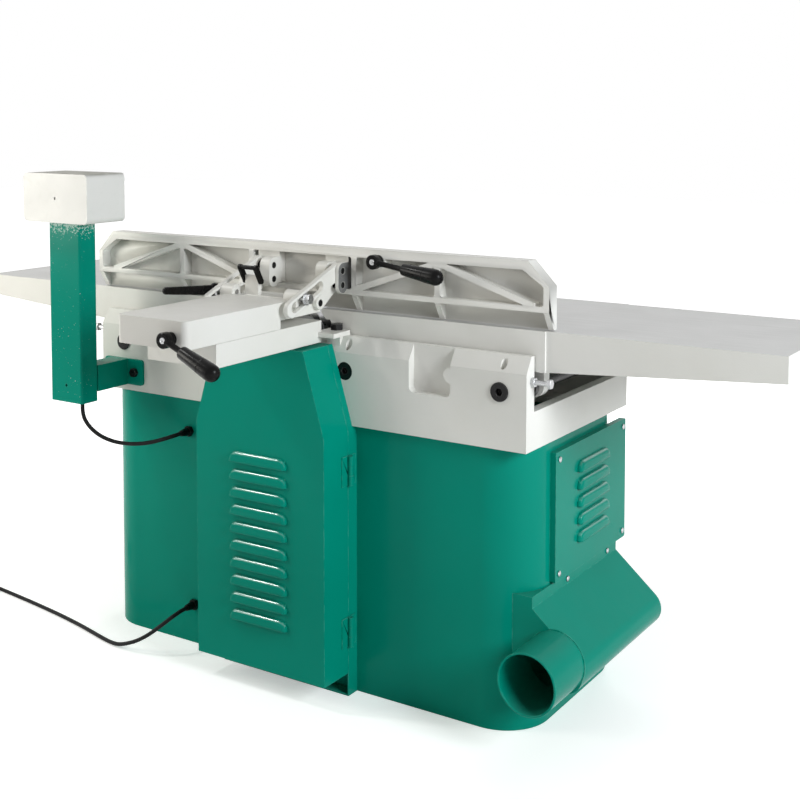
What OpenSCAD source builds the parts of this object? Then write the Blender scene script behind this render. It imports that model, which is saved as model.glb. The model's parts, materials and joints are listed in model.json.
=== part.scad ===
// Long-bed surface planer: a cast trough on a sheet-metal cabinet, two tables on crank shafts,
// a cutterhead driven by belts, and a ribbed fence that slides and tilts.
// X runs along the tables (infeed is +X), Y across them (the fence side is +Y), Z up from the floor.

/* [Tables] */
// Height of the table surface above the cabinet
trough_h = 232; // [220:2:250]
// Width of both tables beside the cutterhead
table_w = 416; // [380:2:440]
// Reach of the infeed table from the cutterhead axis
infeed_l = 1008; // [850:2:1150]
// Reach of the outfeed table from the cutterhead axis
outfeed_l = 1036; // [850:2:1150]
// Depth of the table's side wall over the trough
apron_h = 80; // [74:1:84]
// Depth of the table's side wall at its far end
apron_end_h = 49; // [40:1:60]
// Thickness of the table's top plate
table_t = 22; // [16:1:26]
// Full drop of the infeed table
cut_depth = 16; // [6:1:18]
// Throw of the crank shafts that carry the tables
crank_throw = 30; // [26:1:34]
// Diameter of the crank shafts
shaft_d = 38; // [30:1:42]

/* [Base casting] */
// Length of the trough
base_l = 1120; // [1090:2:1160]
// Height of the trough's rim below the table surface
rim_drop = 48; // [42:1:54]
// Thickness of the side cheeks
cheek_t = 33; // [28:1:38]
// Distance of the inner crank shafts from the cutterhead axis
shaft_in_x = 133; // [125:1:150]
// Distance of the outer crank shafts from the ends of the trough
shaft_inset = 63; // [60:1:90]

/* [Cabinet] */
// Height of the cabinet
cabinet_h = 568; // [540:2:580]
// Length of the cabinet
cabinet_l = 1126; // [1090:2:1160]
// Radius of the cabinet's upright corners
cabinet_r = 100; // [80:1:110]
// Thickness of the sheet steel
sheet = 2; // [1.5:0.1:3]
// Spacing of the floor bolts along the machine
bolt_span_x = 940; // [900:5:960]
// Spacing of the floor bolts across the machine
bolt_span_y = 380; // [360:5:390]
// Diameter of the floor bolt holes
floor_hole_d = 14; // [10:0.5:18]

/* [Cutterhead and drive] */
// Diameter of the cutting circle
head_d = 100; // [92:1:104]
// Diameter of the cutterhead journals
journal_d = 30; // [25:1:36]
// Diameter of the cutterhead pulley
head_pulley_d = 42; // [36:1:44]
// Diameter of the motor pulley
motor_pulley_d = 100; // [80:1:120]
// Height of the motor axis above the floor
motor_z = 160; // [150:2:200]
// Diameter of the motor
motor_d = 190; // [170:2:200]

/* [Fence] */
// Length of the fence
fence_l = 1190; // [1050:5:1300]
// Height of the fence
fence_h = 133; // [125:1:140]
// Thickness of the fence's face plate
fence_t = 9; // [7:0.5:12]
// Depth of the fence, ribs and all
fence_d = 36; // [33:1:40]
// Width of the fence carriage and its support
carriage_w = 174; // [166:1:184]
// Reach of the support behind the trough
support_l = 351; // [330:1:380]

/* [Belt guard] */
// Width of the belt guard
guard_w = 337; // [320:1:350]
// Depth of the hinged guard
guard_d = 85; // [80:1:100]
// Height of the guard's lower edge
guard_z0 = 50; // [40:1:60]
// Width of the guard at its top
guard_top_w = 232; // [220:1:250]
// Number of louvres in the guard
louvre_n = 10; // [6:1:11]

/* [End panel and dust outlet] */
// Width of the end panel
panel_w = 351; // [320:1:356]
// Height of the end panel
panel_h = 264; // [250:1:268]
// Outer diameter of the dust outlet
pipe_d = 120; // [100:1:124]
// Reach of the dust outlet behind the chute
pipe_l = 123; // [100:1:150]

/* [Switch pedestal] */
// Width of the switch column
column_w = 100; // [80:1:110]
// Depth of the switch column
column_d = 50; // [40:1:60]
// Height of the switch column above the cabinet
column_rise = 403; // [370:1:430]
// Width of the switch box
box_w = 202; // [160:2:220]
// Depth of the switch box
box_d = 116; // [106:1:130]
// Height of the switch box
box_h = 110; // [104:1:130]

/* [Handwheels] */
// Diameter of the handwheels
wheel_d = 150; // [120:1:170]

/* [Cords] */
// Diameter of the mains cord and the switch cable
cord_d = 9; // [8:0.5:9]

/* [Hidden] */
$fn = 48;
// Overrun of every cut, fits and clearances
over = 1;
run_fit = 0.05;
seat_gap = 0.3;
table_gap = 4;
table_z = cabinet_h + trough_h;
shaft_out_x = base_l / 2 - shaft_inset;

// Colours
green = "#12806d";
cream = "#e4e3dc";
steel = "#b8babc";
black = "#1d1e1f";
red = "#b3221c";
cast_grey = "#7b7d7c";

// Levels and planes that the pieces share
rim_z = table_z - rim_drop;
base_y = table_w / 2 + table_gap + cheek_t;
cheek_in = table_w / 2 + table_gap;
base_shift = 5;
base_x0 = base_shift - base_l / 2;
base_x1 = base_shift + base_l / 2;
cabinet_inset = 13;
cabinet_y = base_y - cabinet_inset;
cabinet_shift = 13;
cabinet_x0 = cabinet_shift - cabinet_l / 2;
shaft_drop = 119;
shaft_z = table_z - shaft_drop;
head_z = table_z - head_d / 2;

// Trough: bevel, walls, ribs, pads and pockets
bevel_y = 20;
bevel_z = 32;
bed_t = 14;
bed_w = 80;
end_wall_t = 22;
end_wall_drop = 157;
cross_wall_x = 104;
cross_wall_t = 14;
cross_wall_h = 46;
bearing_w = 84;
bearing_drop = 100;
pad_x = 100;
pad_w = 34;
pad_d = 26;
window_top_h = 82;
window_top_w = 250;
window_low_w = 304;
pocket_x = 339;
pocket_w = 96;
pocket_deep = 20;
pocket_drop = 144;
pocket_r = 12;
pocket_lug_d = 30;
pocket_lug_rise = 44;
set_hole_d = 14;
set_hole_deep = 34;
set_hole_side = 5;

// Cabinet: feet, flanges and openings
foot_t = 4;
foot_w = 76;
flange_w = 60;
belt_window_w = 220;
belt_window_h = 300;
belt_window_z = 60;
panel_open_share = 0.8;

// Crank shafts and the lugs under the tables
pin_d = 30;
web_t = 14;
web_y = 178;
lug_t = 24;
lug_y = 140;
lug_d = 50;
socket_across = 14;
socket_deep = 12;
outer_end = 3;
inner_end = -0.5;
infeed_arm = asin(cut_depth / 2 / crank_throw);
outfeed_arm = 5;
journal_web_d = 44;

// Tables: lips, aprons and ribs
lip_x = 48;
lip_root_x = 60;
lip_t = 8;
apron_t = 12;
knee_past = 15;
knee_x = base_l / 2 + knee_past;
wing_step = 5;
lug_web_x0 = 100;
lug_web_past = 69;
lug_web_x1 = shaft_out_x + lug_web_past;
lug_web_h = 50;
rib_t = 12;
rib_y = 96;
rib_h = 30;
cross_rib_shares = [0.62, 0.74, 0.86];

// Cutterhead, knives and bearings
knife_n = 3;
knife_out = 1.6;
body_gap = 7;
slot_w = 16;
slot_deep = 20;
knife_t = 3;
knife_seat = 0.15;
nose_d = 16;
pulley_off = 48;
pulley_y = base_y + pulley_off;
pulley_l = 44;
groove_n = 2;
groove_w = 13;
groove_deep = 8;
belt_t = 8;
bearing_top = 38;
bearing_bolt_d = 12;
cap_screw_d = 10;
cap_screw_h = 6;

// Motor and its bracket
motor_l = 300;
motor_y1 = 196;
motor_shaft_d = 28;
fin_n = 24;
fin_t = 4;
fin_h = 9;
fin_l = 190;
foot_plate_t = 6;
motor_foot_w = 220;
bracket_l = 300;
fan_cover_l = 54;
fan_cover_d = motor_d - fin_t;
terminal_w = 90;
terminal_h = 46;

// Belt guard, its fixed frame and its hinges
guard_shift = 13;
guard_x0 = guard_shift - guard_w / 2;
guard_x1 = guard_shift + guard_w / 2;
frame_d = 32;
frame_y = cabinet_y + frame_d;
door_gap = 0.8;
door_y0 = frame_y + door_gap;
guard_y = door_y0 + guard_d;
shoulder_drop = 8;
shoulder_z = cabinet_h - shoulder_drop;
guard_top_drop = 17;
guard_z1 = rim_z - guard_top_drop;
frame_t = 3;
belt_slot_w = 130;
louvre_w = 140;
louvre_z = 147;
louvre_pitch = 37.6;
louvre_h = 22;
louvre_d = 9;
hinge_low = 140;
hinge_drop = 80;
hinge_zs = [hinge_low, shoulder_z - hinge_drop];
hinge_l = 62;
knuckle_d = 12;
knuckle_gap = 0.5;
hinge_pin_d = 6;
hinge_x = guard_x0 - knuckle_d / 2 - 2 * seat_gap;
hinge_y = frame_y + door_gap / 2;
leaf_t = 2;
leaf_w = 24;

// End panel
panel_y = -46;
panel_gap = 23;
panel_z = cabinet_h - panel_gap - panel_h / 2;
panel_t = 13;
panel_r = 4;
panel_louvre_n = 5;
panel_louvre_w = 140;
panel_louvre_pitch = 36.4;
panel_louvre_drop = 75;
panel_louvre_z = panel_z - panel_louvre_drop;
panel_screw_in = 16;
screw_d = 12;
screw_h = 4;

// Dust chute and its outlet
chute_t = 2.5;
chute_y0 = -195;
chute_y1 = 212;
chute_gap = 3;
chute_top_z = panel_z - panel_h / 2 - chute_gap;
chute_fold_h = 22;
chute_fold_z = chute_top_z - chute_fold_h;
chute_flange = 4;
pipe_off = 54;
pipe_rim = 2;
pipe_x = cabinet_x0 - pipe_off;
pipe_share = 0.5863;
pipe_z = chute_top_z * pipe_share;
nose_off = 17;
nose_low = 19;
hood_nose_d = 80;
chute_nose = [pipe_x - nose_off, pipe_z - nose_low];
chute_low = 59;
chute_low_z = pipe_z - chute_low;
foot_share = 0.259;
chute_foot_z = chute_top_z * foot_share;
chute_screw_drop = 11;
chute_screw_z = chute_top_z - chute_screw_drop;
chute_screw_y = 100;
chute_open_share = 0.75;

// Fence and its ribs
fence_lift = 2;
fence_back = 10;
fence_y1 = table_w / 2 + fence_back;
fence_y0 = fence_y1 - fence_d;
fence_z0 = table_z + fence_lift;
fence_z1 = fence_z0 + fence_h;
fence_shift = 8;
fence_cut_x = 45;
fence_cut_z = 48;
fence_rim = 18;
fence_end_rim = 12;
rib_short = 2;
rib_d = fence_d - rib_short;
ledge_rise = 46;
ledge_t = 11;
web_toe = 3;
fence_rib_t = 12;
rib_share = 0.57;
diag_out_share = 0.93;
diag_in_share = 0.23;

// Tilt linkage: places of its four pivots across the machine
low_pivot_back = 63;
low_pivot_rise = 25;
link_end_back = 13;
low_end_rise = 58;
high_end_rise = 88;
clamp_back = 131;
clamp_rise = 43;
low_pivot = [fence_y1 + low_pivot_back, table_z + low_pivot_rise];
low_end = [fence_y1 + link_end_back, table_z + low_end_rise];
high_end = [fence_y1 + link_end_back, table_z + high_end_rise];
clamp_at = [fence_y1 + clamp_back, table_z + clamp_rise];
link_x = carriage_w / 2;
low_link_t = 12;
low_link_d = 28;
high_link_t = 12;
high_link_d = 34;
link_gap = 0.4;
low_x0 = link_x + link_gap;
high_x0 = low_x0 + low_link_t + link_gap;
cheek_x0 = high_x0 + high_link_t + link_gap;
link_pin_d = 14;
slot_side = 4.2;
slot_near = 72;
slot_far = 164;
clamp_d = 12;
bracket_d = 34;
bracket_cheek_t = 8;
bracket_plate_d = 20;
bracket_t = 26;
washer_d = 26;
washer_t = 3;
nut_across = 19;
nut_h = 9;

// Fence support and carriage
support_t = 12;
support_drop = 14;
support_z = table_z - support_drop;
support_foot = 58;
support_off = 17;
support_y0 = base_y + support_off;
support_y1 = base_y + support_l;
ear_inset = 2;
ear_y0 = cheek_in + ear_inset;
ear_t = 10;
ear_w = 53;
support_bolt_d = 16;
support_bolt_h = 13;
support_bolt_across = 24;
slide_gap = 0.3;
carriage_rise = 40;
carriage_top = table_z + carriage_rise;
skirt_back = 182;
nose_back = 48;
end_back = 462;
carriage_skirt_y = fence_y1 + skirt_back;
carriage_nose_y = fence_y1 + nose_back;
carriage_end_y = fence_y1 + end_back;
carriage_r = 14;
nose_rise = 4;
nose_z = table_z + nose_rise;
clamp_ear_d = 34;
clamp_ear_t = 20;
carriage_hollow = 24;
carriage_roof = 16;
keel_w = 40;
keel_h = 7;
keel_back = 60;
keel_end = 32;

// Levers and the flip stop
lock_x = -53;
lock_rise = 6;
lock_y = carriage_end_y + seat_gap;
lock_z = table_z + lock_rise;
hub_d = 30;
hub_l = 26;
stem_d = 12;
grip_d = 33;
grip_l = 84;
lock_stem = 52;
fence_stem = 82;
lever_out = 9;
stem_share = 0.7;
grip_root_share = 0.74;
grip_tip_share = 0.97;
lock_drop = 18;
fence_lever_x = -199;
fence_lever_rise = 112;
fence_lever_z = table_z + fence_lever_rise;
fence_lever_drop = 6;
flat_lever_l = 150;
flat_lever_w = 22;
flat_lever_t = 7;
flat_lever_tip = 15;
flat_lever_rise = 6;
stop_x = 34;
stop_back = 112;
stop_y = fence_y1 + stop_back;
stop_lean = 60;
stop_tab_w = 34;
stop_tab_t = 12;
stop_tab_h = 40;
stop_arm_t = 6;
stop_arm_l = 34;
stop_bar_d = 9;
stop_axle_d = 7;
stop_axle_drop = 12;

// Switch pedestal
arm_inset = 80;
arm_x = base_l / 2 - arm_inset;
arm_w = 50;
arm_h = 60;
arm_wall = 3;
plate_x = 433;
plate_w = 120;
plate_t = 6;
plate_r = 8;
arm_rise = 15;
arm_z = cabinet_h + arm_rise;
column_back = 100;
column_y = base_y + column_back;
column_drop = 6;
column_z0 = cabinet_h - column_drop;
column_z = cabinet_h + column_rise;
column_r = 6;
column_mark_d = 7;
column_mark_z = 600;
column_x = arm_x + column_w / 2;
box_r = 12;
box_back = 6.75;
visor_out = 9;
visor_h = 20;
visor_slope = 9;
box_y0 = column_y + (column_d - box_d) / 2 - box_back;
box_mark_d = 7;
box_mark_deep = 4;
button_d = 30;
button_l = 16;
button_out = 6;
button_travel = 4;
button_fit = 0.3;
button_x = 36;
mushroom_d = 42;
mushroom_t = 12;
bolt_in = 24;

// Handwheels and lock levers on the front cheek
wheel_x = 320;
wheel_drop = 36;
wheel_z = shaft_z - wheel_drop;
wheel_rim_d = 18;
wheel_hub_d = 40;
wheel_hub_l = 40;
wheel_off = 46;
wheel_shaft_d = 20;
spoke_d = 13;
spoke_n = 3;
knob_d = 24;
knob_l = 58;
knob_bolt_d = 10;
knob_bolt_share = 0.7;
knob_round_share = 0.8;
table_lock_x = 215;
table_lock_rise = 6;
table_lock_z = shaft_z + table_lock_rise;
table_lock_d = 14;
table_lock_hub_d = 30;
table_lock_l = 105;
ball_d = 30;

// Stop bolts under the tables' far ends
stop_bolt_share = 0.3;
stop_bolt_y = cheek_in + cheek_t * stop_bolt_share;
stop_bolt_drop = 97;
stop_bolt_z = table_z - stop_bolt_drop;
stop_bolt_d = 10;
stop_bolt_l = 42;
stop_nut_across = 17;
stop_nut_h = 8;

// Cords: glands, routes, coil, tie and plug
gland_l = 30;
gland_d = 22;
gland_nut_h = 10;
gland_root_share = 0.9;
gland_tip_share = 1.5;
gland_x = 306;
gland_drop = 76;
cable_gland_at = [gland_x, cabinet_h - gland_drop];
mains_gland_at = [295, 91];
cable_off = 25;
cable_x = arm_x + cable_off;
// Each station: share of the way from the gland to the column, place across, depth below the cabinet's top
cable_path = [
    [1, 370, 6], [1, 370, 28], [0.975, 368, 48], [0.905, 362, 68], [0.794, 354, 84], [0.653, 344, 94],
    [0.503, 333, 97.5], [0.352, 322, 96], [0.221, 312, 91], [0.106, 301, 84], [0.043, 291, 79.5],
    [0.01, 279.5, 77], [0, 270, 76], [0, 262.4, 76]
];
cable_route = [for (p = cable_path) [gland_x + p[0] * (cable_x - gland_x), p[1], cabinet_h - p[2]]];
mains_route = [
    [295, 262.5, 91], [296, 284, 89], [302, 306, 81], [316, 325, 66], [338, 339, 47], [365, 347, 30],
    [395, 350, 17], [425, 349, 8], [456, 344, 5], [490, 337, 5], [530, 327, 5], [575, 316, 5],
    [622, 306, 5], [669, 297, 5], [730, 287, 5], [790, 278, 5], [850, 270, 5], [905, 263, 5],
    [945, 259, 5.5], [976, 258, 6.2]
];
cord_sides = 8;
coil_sides = 6;
coil_rings = 24;
coil_turns = 2;
coil_pitch = 10.2;
coil_in_r = 40;
coil_out_r = coil_in_r + coil_turns * coil_pitch;
coil_z = 6.2;
coil_layer = 10.4;
coil_dip = 2;
coil_start = [985, 258];
coil_centre = [coil_start[0], coil_start[1] + coil_out_r];
tie_t = 1.2;
tie_w = 10;
tie_gap = 0.35;
tie_slack = 0.8;
plug_d = 32;
plug_l = 38;
plug_neck_d = 13;
plug_neck_l = 26;
plug_neck_share = 1.3;
plug_pin_d = 4.8;
plug_pin_l = 19;
plug_pin_y = 9.5;

// Shapes that several pieces share

// Rounded rectangle about the origin
module round_rect(w, d, r) {
    square([w - 2 * r, d], center = true);
    square([w, d - 2 * r], center = true);
    for (sx = [-1, 1], sy = [-1, 1]) translate([sx * (w / 2 - r), sy * (d / 2 - r)]) circle(r);
}

// Flat bar with round ends, from the origin along +X
module pill(length, d) {
    circle(d = d);
    translate([length, 0]) circle(d = d);
    translate([0, -d / 2]) square([length, d]);
}

// Outline drawn in X and Z, extruded from y0 to y1
module along_y(y0, y1) translate([0, y1, 0]) rotate([90, 0, 0]) linear_extrude(y1 - y0) children();

// Outline drawn in Y and Z, extruded from x0 to x1
module along_x(x0, x1) translate([x0, 0, 0]) rotate([90, 0, 90]) linear_extrude(x1 - x0) children();

module rod_y(d, y0, y1) along_y(y0, y1) circle(d = d);
module rod_x(d, x0, x1) along_x(x0, x1) circle(d = d);
module hexagon(across) circle(d = across / cos(30), $fn = 6);

// Hood of one louvre, open downwards, standing out along +Y from a sheet at Y = 0
module louvre_hood(w) translate([-w / 2, 0, 0]) along_x(0, w) polygon([
    [-sheet, louvre_h], [louvre_d, sheet], [louvre_d, 0], [louvre_d - sheet, 0],
    [-sheet, louvre_h - 2 * sheet]
]);

// Cheeks of one louvre, which close the hood at its two ends
module louvre_cheeks(w) for (x = [-w / 2, w / 2 - sheet]) translate([x, 0, 0]) along_x(0, sheet) polygon([
    [-sheet / 2, louvre_h], [louvre_d, 0], [-sheet / 2, 0]
]);

// Point where a line from p touches a circle about c, on its left seen from c
function touch(c, r, p) =
    let (v = p - c, turn = atan2(v[1], v[0]) + acos(r / norm(v)))
    c + r * [cos(turn), sin(turn)];

// Swept tubes for cords: directions along a route, rings about it and the skin between the rings
function unit(v) = v / norm(v);
function heading(route, i) =
    unit(route[min(i + 1, len(route) - 1)] - route[max(i - 1, 0)]);
function side_of(t) = unit(cross(abs(t[2]) > 0.9 ? [0, 1, 0] : [0, 0, 1], t));
function ring(route, i, d, sides) =
    let (t = heading(route, i), u = side_of(t), v = cross(t, u))
    [for (k = [0 : sides - 1]) route[i] + d / 2 * (cos(360 * k / sides) * u + sin(360 * k / sides) * v)];
module tube(route, d, sides) {
    n = len(route);
    points = [for (i = [0 : n - 1]) each ring(route, i, d, sides)];
    skin = [for (i = [0 : n - 2], k = [0 : sides - 1])
        let (a = i * sides + k, b = i * sides + (k + 1) % sides)
        each [[a, b, b + sides], [a, b + sides, a + sides]]];
    caps = [for (k = [1 : sides - 2]) each [[0, k + 1, k], (n - 1) * sides * [1, 1, 1] + [0, k, k + 1]]];
    polyhedron([for (p = points) p], [for (f = concat(skin, caps)) [f[2], f[1], f[0]]]);
}

// Smooth route through hand-set points, one point added between each two
function spline_mid(a, b, c, d) = (9 * (b + c) - a - d) / 16;
function smooth(route) =
    let (n = len(route))
    [for (i = [0 : n - 2])
        each [route[i], spline_mid(route[max(i - 1, 0)], route[i], route[i + 1], route[min(i + 2, n - 1)])],
     route[n - 1]];

// Sheet-metal cabinet

module cabinet() color(green) difference() {
    translate([cabinet_shift, 0, 0]) linear_extrude(cabinet_h)
        round_rect(cabinet_l, 2 * cabinet_y, cabinet_r);
    translate([cabinet_shift, 0, foot_t]) linear_extrude(cabinet_h - 2 * foot_t)
        round_rect(cabinet_l - 2 * sheet, 2 * (cabinet_y - sheet), cabinet_r - sheet);
    translate([cabinet_shift, 0, -over]) linear_extrude(foot_t + 2 * over)
        round_rect(cabinet_l - 2 * foot_w, 2 * (cabinet_y - foot_w), cabinet_r - foot_w);
    translate([cabinet_shift, 0, cabinet_h - foot_t - over]) linear_extrude(foot_t + 2 * over)
        round_rect(cabinet_l - 2 * flange_w, 2 * (cabinet_y - flange_w), cabinet_r - flange_w);
    for (sx = [-1, 1], sy = [-1, 1]) translate([sx * bolt_span_x / 2, sy * bolt_span_y / 2, -over])
        cylinder(d = floor_hole_d, h = foot_t + 2 * over);
    translate([-belt_window_w / 2, cabinet_y - sheet - over, belt_window_z])
        cube([belt_window_w, sheet + 2 * over, belt_window_h]);
    translate([cabinet_x0 - over, panel_y - panel_w * panel_open_share / 2,
        panel_z - panel_h * panel_open_share / 2])
        cube([sheet + 2 * over, panel_w * panel_open_share, panel_h * panel_open_share]);
    translate([cabinet_x0 - over, panel_y - panel_w * chute_open_share / 2, chute_low_z + chute_t])
        cube([sheet + 2 * over, panel_w * chute_open_share, chute_fold_z - chute_low_z - 2 * chute_t]);
    for (at = [cable_gland_at, mains_gland_at]) translate([at[0], 0, at[1]])
        rod_y(gland_d / 2, cabinet_y - sheet - over, cabinet_y + over);
}

// Trough casting: beveled cheeks, end walls, bed flange, bearing seats and bores

module cheek() along_x(base_x0, base_x1) polygon([
    [cheek_in, cabinet_h], [base_y, cabinet_h], [base_y, rim_z - bevel_z], [base_y - bevel_y, rim_z],
    [cheek_in, rim_z]
]);

module bed() linear_extrude(bed_t) difference() {
    translate([base_shift, 0]) square([base_l, 2 * base_y], center = true);
    translate([base_shift, 0]) square([base_l - 2 * bed_w, 2 * (base_y - bed_w)], center = true);
}

module guard_window() along_y(cheek_in - over, base_y + over) translate([guard_shift, cabinet_h]) polygon([
    [-window_low_w / 2, -over], [window_low_w / 2, -over], [window_top_w / 2, window_top_h],
    [-window_top_w / 2, window_top_h]
]);

module cheek_pocket() along_y(base_y - pocket_deep, base_y + over) translate([-pocket_x, table_z])
    difference() {
        round_rect(pocket_w, 2 * pocket_drop, pocket_r);
        translate([-pocket_w / 2, -pocket_drop + pocket_lug_rise]) circle(d = pocket_lug_d);
    }

module set_holes() for (s = [-1, 1], x = [shaft_in_x, shaft_out_x])
    translate([s * (x + set_hole_side), base_y - bevel_y / 2, rim_z - set_hole_deep])
        cylinder(d = set_hole_d, h = set_hole_deep + over);

module base_casting() color(cream) difference() {
    union() {
        cheek();
        mirror([0, 1, 0]) cheek();
        translate([0, 0, cabinet_h]) bed();
        for (x = [base_x0, base_x1 - end_wall_t]) translate([x, -base_y, cabinet_h])
            cube([end_wall_t, 2 * base_y, table_z - end_wall_drop - cabinet_h]);
        for (s = [-1, 1]) translate([s * cross_wall_x - cross_wall_t / 2, -cheek_in - over, cabinet_h])
            cube([cross_wall_t, 2 * (cheek_in + over), cross_wall_h]);
        for (s = [-1, 1]) translate([s * pad_x - pad_w / 2, cheek_in, rim_z - bevel_z])
            cube([pad_w, pad_d, bevel_z]);
    }
    for (s = [-1, 1], x = [shaft_in_x, shaft_out_x]) translate([s * x, 0, shaft_z])
        rod_y(shaft_d + 2 * run_fit, -base_y - over, base_y + over);
    for (s = [-1, 1]) translate([-bearing_w / 2, s * (cheek_in + base_y) / 2 - (cheek_t + 2 * over) / 2,
        table_z - bearing_drop]) cube([bearing_w, cheek_t + 2 * over, bearing_drop]);
    guard_window();
    cheek_pocket();
    set_holes();
    for (s = [-1, 1]) {
        translate([s * pad_x, cheek_in + pad_d / 2, rim_z - bevel_z])
            cylinder(d = support_bolt_d + 2 * run_fit, h = bevel_z + over);
        translate([s * wheel_x, 0, wheel_z])
            rod_y(wheel_shaft_d + 2 * run_fit, -base_y - over, -cheek_in + over);
        translate([s * table_lock_x, 0, table_lock_z])
            rod_y(table_lock_d + 2 * run_fit, -base_y - over, -cheek_in + over);
    }
    for (x = [base_x0, base_x1]) translate([0, stop_bolt_y, stop_bolt_z])
        rod_x(stop_bolt_d + 2 * run_fit, x - end_wall_t - over, x + end_wall_t + over);
    for (x = arm_bolt_xs()) translate([x, 0, arm_z + arm_h / 2])
        rod_y(clamp_d + 2 * run_fit, cheek_in - over, base_y + over);
}

// Bearing blocks in the cheeks, with their cap screws

module bearing_block(side) color(cast_grey) difference() {
    translate([0, 0, head_z]) along_y(side < 0 ? -base_y : cheek_in, side < 0 ? -cheek_in : base_y) {
        circle(d = bearing_w - 2 * seat_gap);
        translate([-bearing_w / 2 + seat_gap, table_z - bearing_drop - head_z])
            square([bearing_w - 2 * seat_gap, bearing_drop - table_z + head_z]);
    }
    translate([0, 0, head_z]) rod_y(journal_d + 2 * run_fit, -base_y - over, base_y + over);
    translate([-bearing_w / 2, -base_y - over, head_z + bearing_top - cap_screw_h])
        cube([bearing_w, 2 * (base_y + over), bearing_top]);
}
module front_bearing_block() bearing_block(-1);
module rear_bearing_block() bearing_block(1);

// Cutterhead with its journals, knives and pulley

module cutterhead() color(steel) translate([0, 0, head_z]) {
    difference() {
        rod_y(head_d - 2 * knife_out, -table_w / 2 + body_gap, table_w / 2 - body_gap);
        for (k = [0 : knife_n - 1]) rotate([0, 360 * k / knife_n, 0])
            translate([-slot_w / 2, -table_w / 2, head_d / 2 - slot_deep]) cube([slot_w, table_w, slot_deep]);
    }
    rod_y(journal_d, -base_y + over, -table_w / 2 + body_gap);
    rod_y(journal_d, table_w / 2 - body_gap, base_y - over);
    rod_y(nose_d, base_y - 2 * over, pulley_y + pulley_l);
}

module cutter_knives() color(steel) translate([0, 0, head_z]) for (k = [0 : knife_n - 1])
    rotate([0, 360 * k / knife_n, 0]) {
        translate([-slot_w / 2 + knife_seat, -table_w / 2 + body_gap, head_d / 2 - slot_deep + knife_seat])
            cube([knife_t, table_w - 2 * body_gap, slot_deep - 3 * knife_seat]);
        translate([-slot_w / 2 + knife_t + 2 * knife_seat, -table_w / 2 + body_gap,
            head_d / 2 - slot_deep + knife_seat])
            cube([slot_w - knife_t - 3 * knife_seat, table_w - 2 * body_gap, slot_deep - 3 * knife_out]);
    }

// V-belt pulley about the Y axis, from Y = 0, with a plain bore
module pulley(d, bore) rotate([-90, 0, 0]) rotate_extrude() difference() {
    translate([bore / 2, 0]) square([d / 2 - bore / 2, pulley_l]);
    for (g = [0 : groove_n - 1]) translate([d / 2, (g + 0.5) * pulley_l / groove_n]) polygon([
        [over, -groove_w / 2], [over, groove_w / 2],
        [-groove_deep, groove_w / 3], [-groove_deep, -groove_w / 3]
    ]);
}

module cutterhead_pulley() color(cast_grey) translate([0, pulley_y, head_z])
    pulley(head_pulley_d, nose_d + 2 * run_fit);

module motor_pulley() color(cast_grey) translate([0, pulley_y, motor_z])
    pulley(motor_pulley_d, motor_shaft_d + 2 * run_fit);

// Loop round both pulleys at a given height above the groove bottoms, as an outline in X and Z
function belt_loop(rise, steps = 24) =
    let (r1 = motor_pulley_d / 2 - groove_deep + rise, r2 = head_pulley_d / 2 - groove_deep + rise,
         lean = asin((r1 - r2) / (head_z - motor_z)))
    concat(
        [for (i = [0 : steps]) let (a = 180 - lean + (180 + 2 * lean) * i / steps)
            [r1 * cos(a), motor_z + r1 * sin(a)]],
        [for (i = [0 : steps]) let (a = lean + (180 - 2 * lean) * i / steps)
            [r2 * cos(a), head_z + r2 * sin(a)]]);

module drive_belts() color(black) for (g = [0 : groove_n - 1]) {
    y = pulley_y + (g + 0.5) * pulley_l / groove_n;
    along_y(y - groove_w / 3 + seat_gap, y + groove_w / 3 - seat_gap) difference() {
        polygon(belt_loop(belt_t + seat_gap));
        polygon(belt_loop(seat_gap));
    }
}

// Motor inside the cabinet and the bracket that it stands on

module motor() color(cast_grey) translate([0, 0, motor_z]) {
    rod_y(motor_d - 2 * fin_h, motor_y1 - motor_l + fan_cover_l, motor_y1);
    rod_y(fan_cover_d, motor_y1 - motor_l, motor_y1 - motor_l + fan_cover_l);
    rod_y(motor_shaft_d, motor_y1 - over, pulley_y + pulley_l);
    for (k = [1 : fin_n - 1]) rotate([0, 180 + 360 * k / fin_n, 0])
        translate([-fin_t / 2, motor_y1 - fin_l - fin_h, motor_d / 2 - 2 * fin_h])
            cube([fin_t, fin_l, 2 * fin_h]);
    translate([-terminal_w / 2, motor_y1 - fin_l + fin_h, 0])
        cube([terminal_w, terminal_w, motor_d / 2 + terminal_h / 2]);
    for (s = [-1, 1])
        translate([s * (motor_foot_w / 2 - terminal_w / 4) - terminal_w / 4, motor_y1 - fin_l, -motor_d / 2])
            cube([terminal_w / 2, fin_l - fin_h, motor_d / 4]);
}

module motor_bracket() color(cast_grey) {
    top = motor_z - motor_d / 2;
    translate([-bracket_l / 2, -cabinet_y + foot_w / 2, top - foot_plate_t])
        cube([bracket_l, 2 * cabinet_y - foot_w, foot_plate_t]);
    for (y = [-cabinet_y + foot_w / 2, cabinet_y - foot_w / 2 - foot_plate_t])
        translate([-bracket_l / 2, y, foot_t]) cube([bracket_l, foot_plate_t, top - foot_t]);
}

// Belt guard outline in X and Z, drawn in by a wall
module guard_outline(z0, wall) polygon([
    [guard_x0 + wall, z0 + wall], [guard_x1 - wall, z0 + wall], [guard_x1 - wall, shoulder_z],
    [guard_shift + guard_top_w / 2 - wall, guard_z1 - wall],
    [guard_shift - guard_top_w / 2 + wall, guard_z1 - wall], [guard_x0 + wall, shoulder_z]
]);

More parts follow.
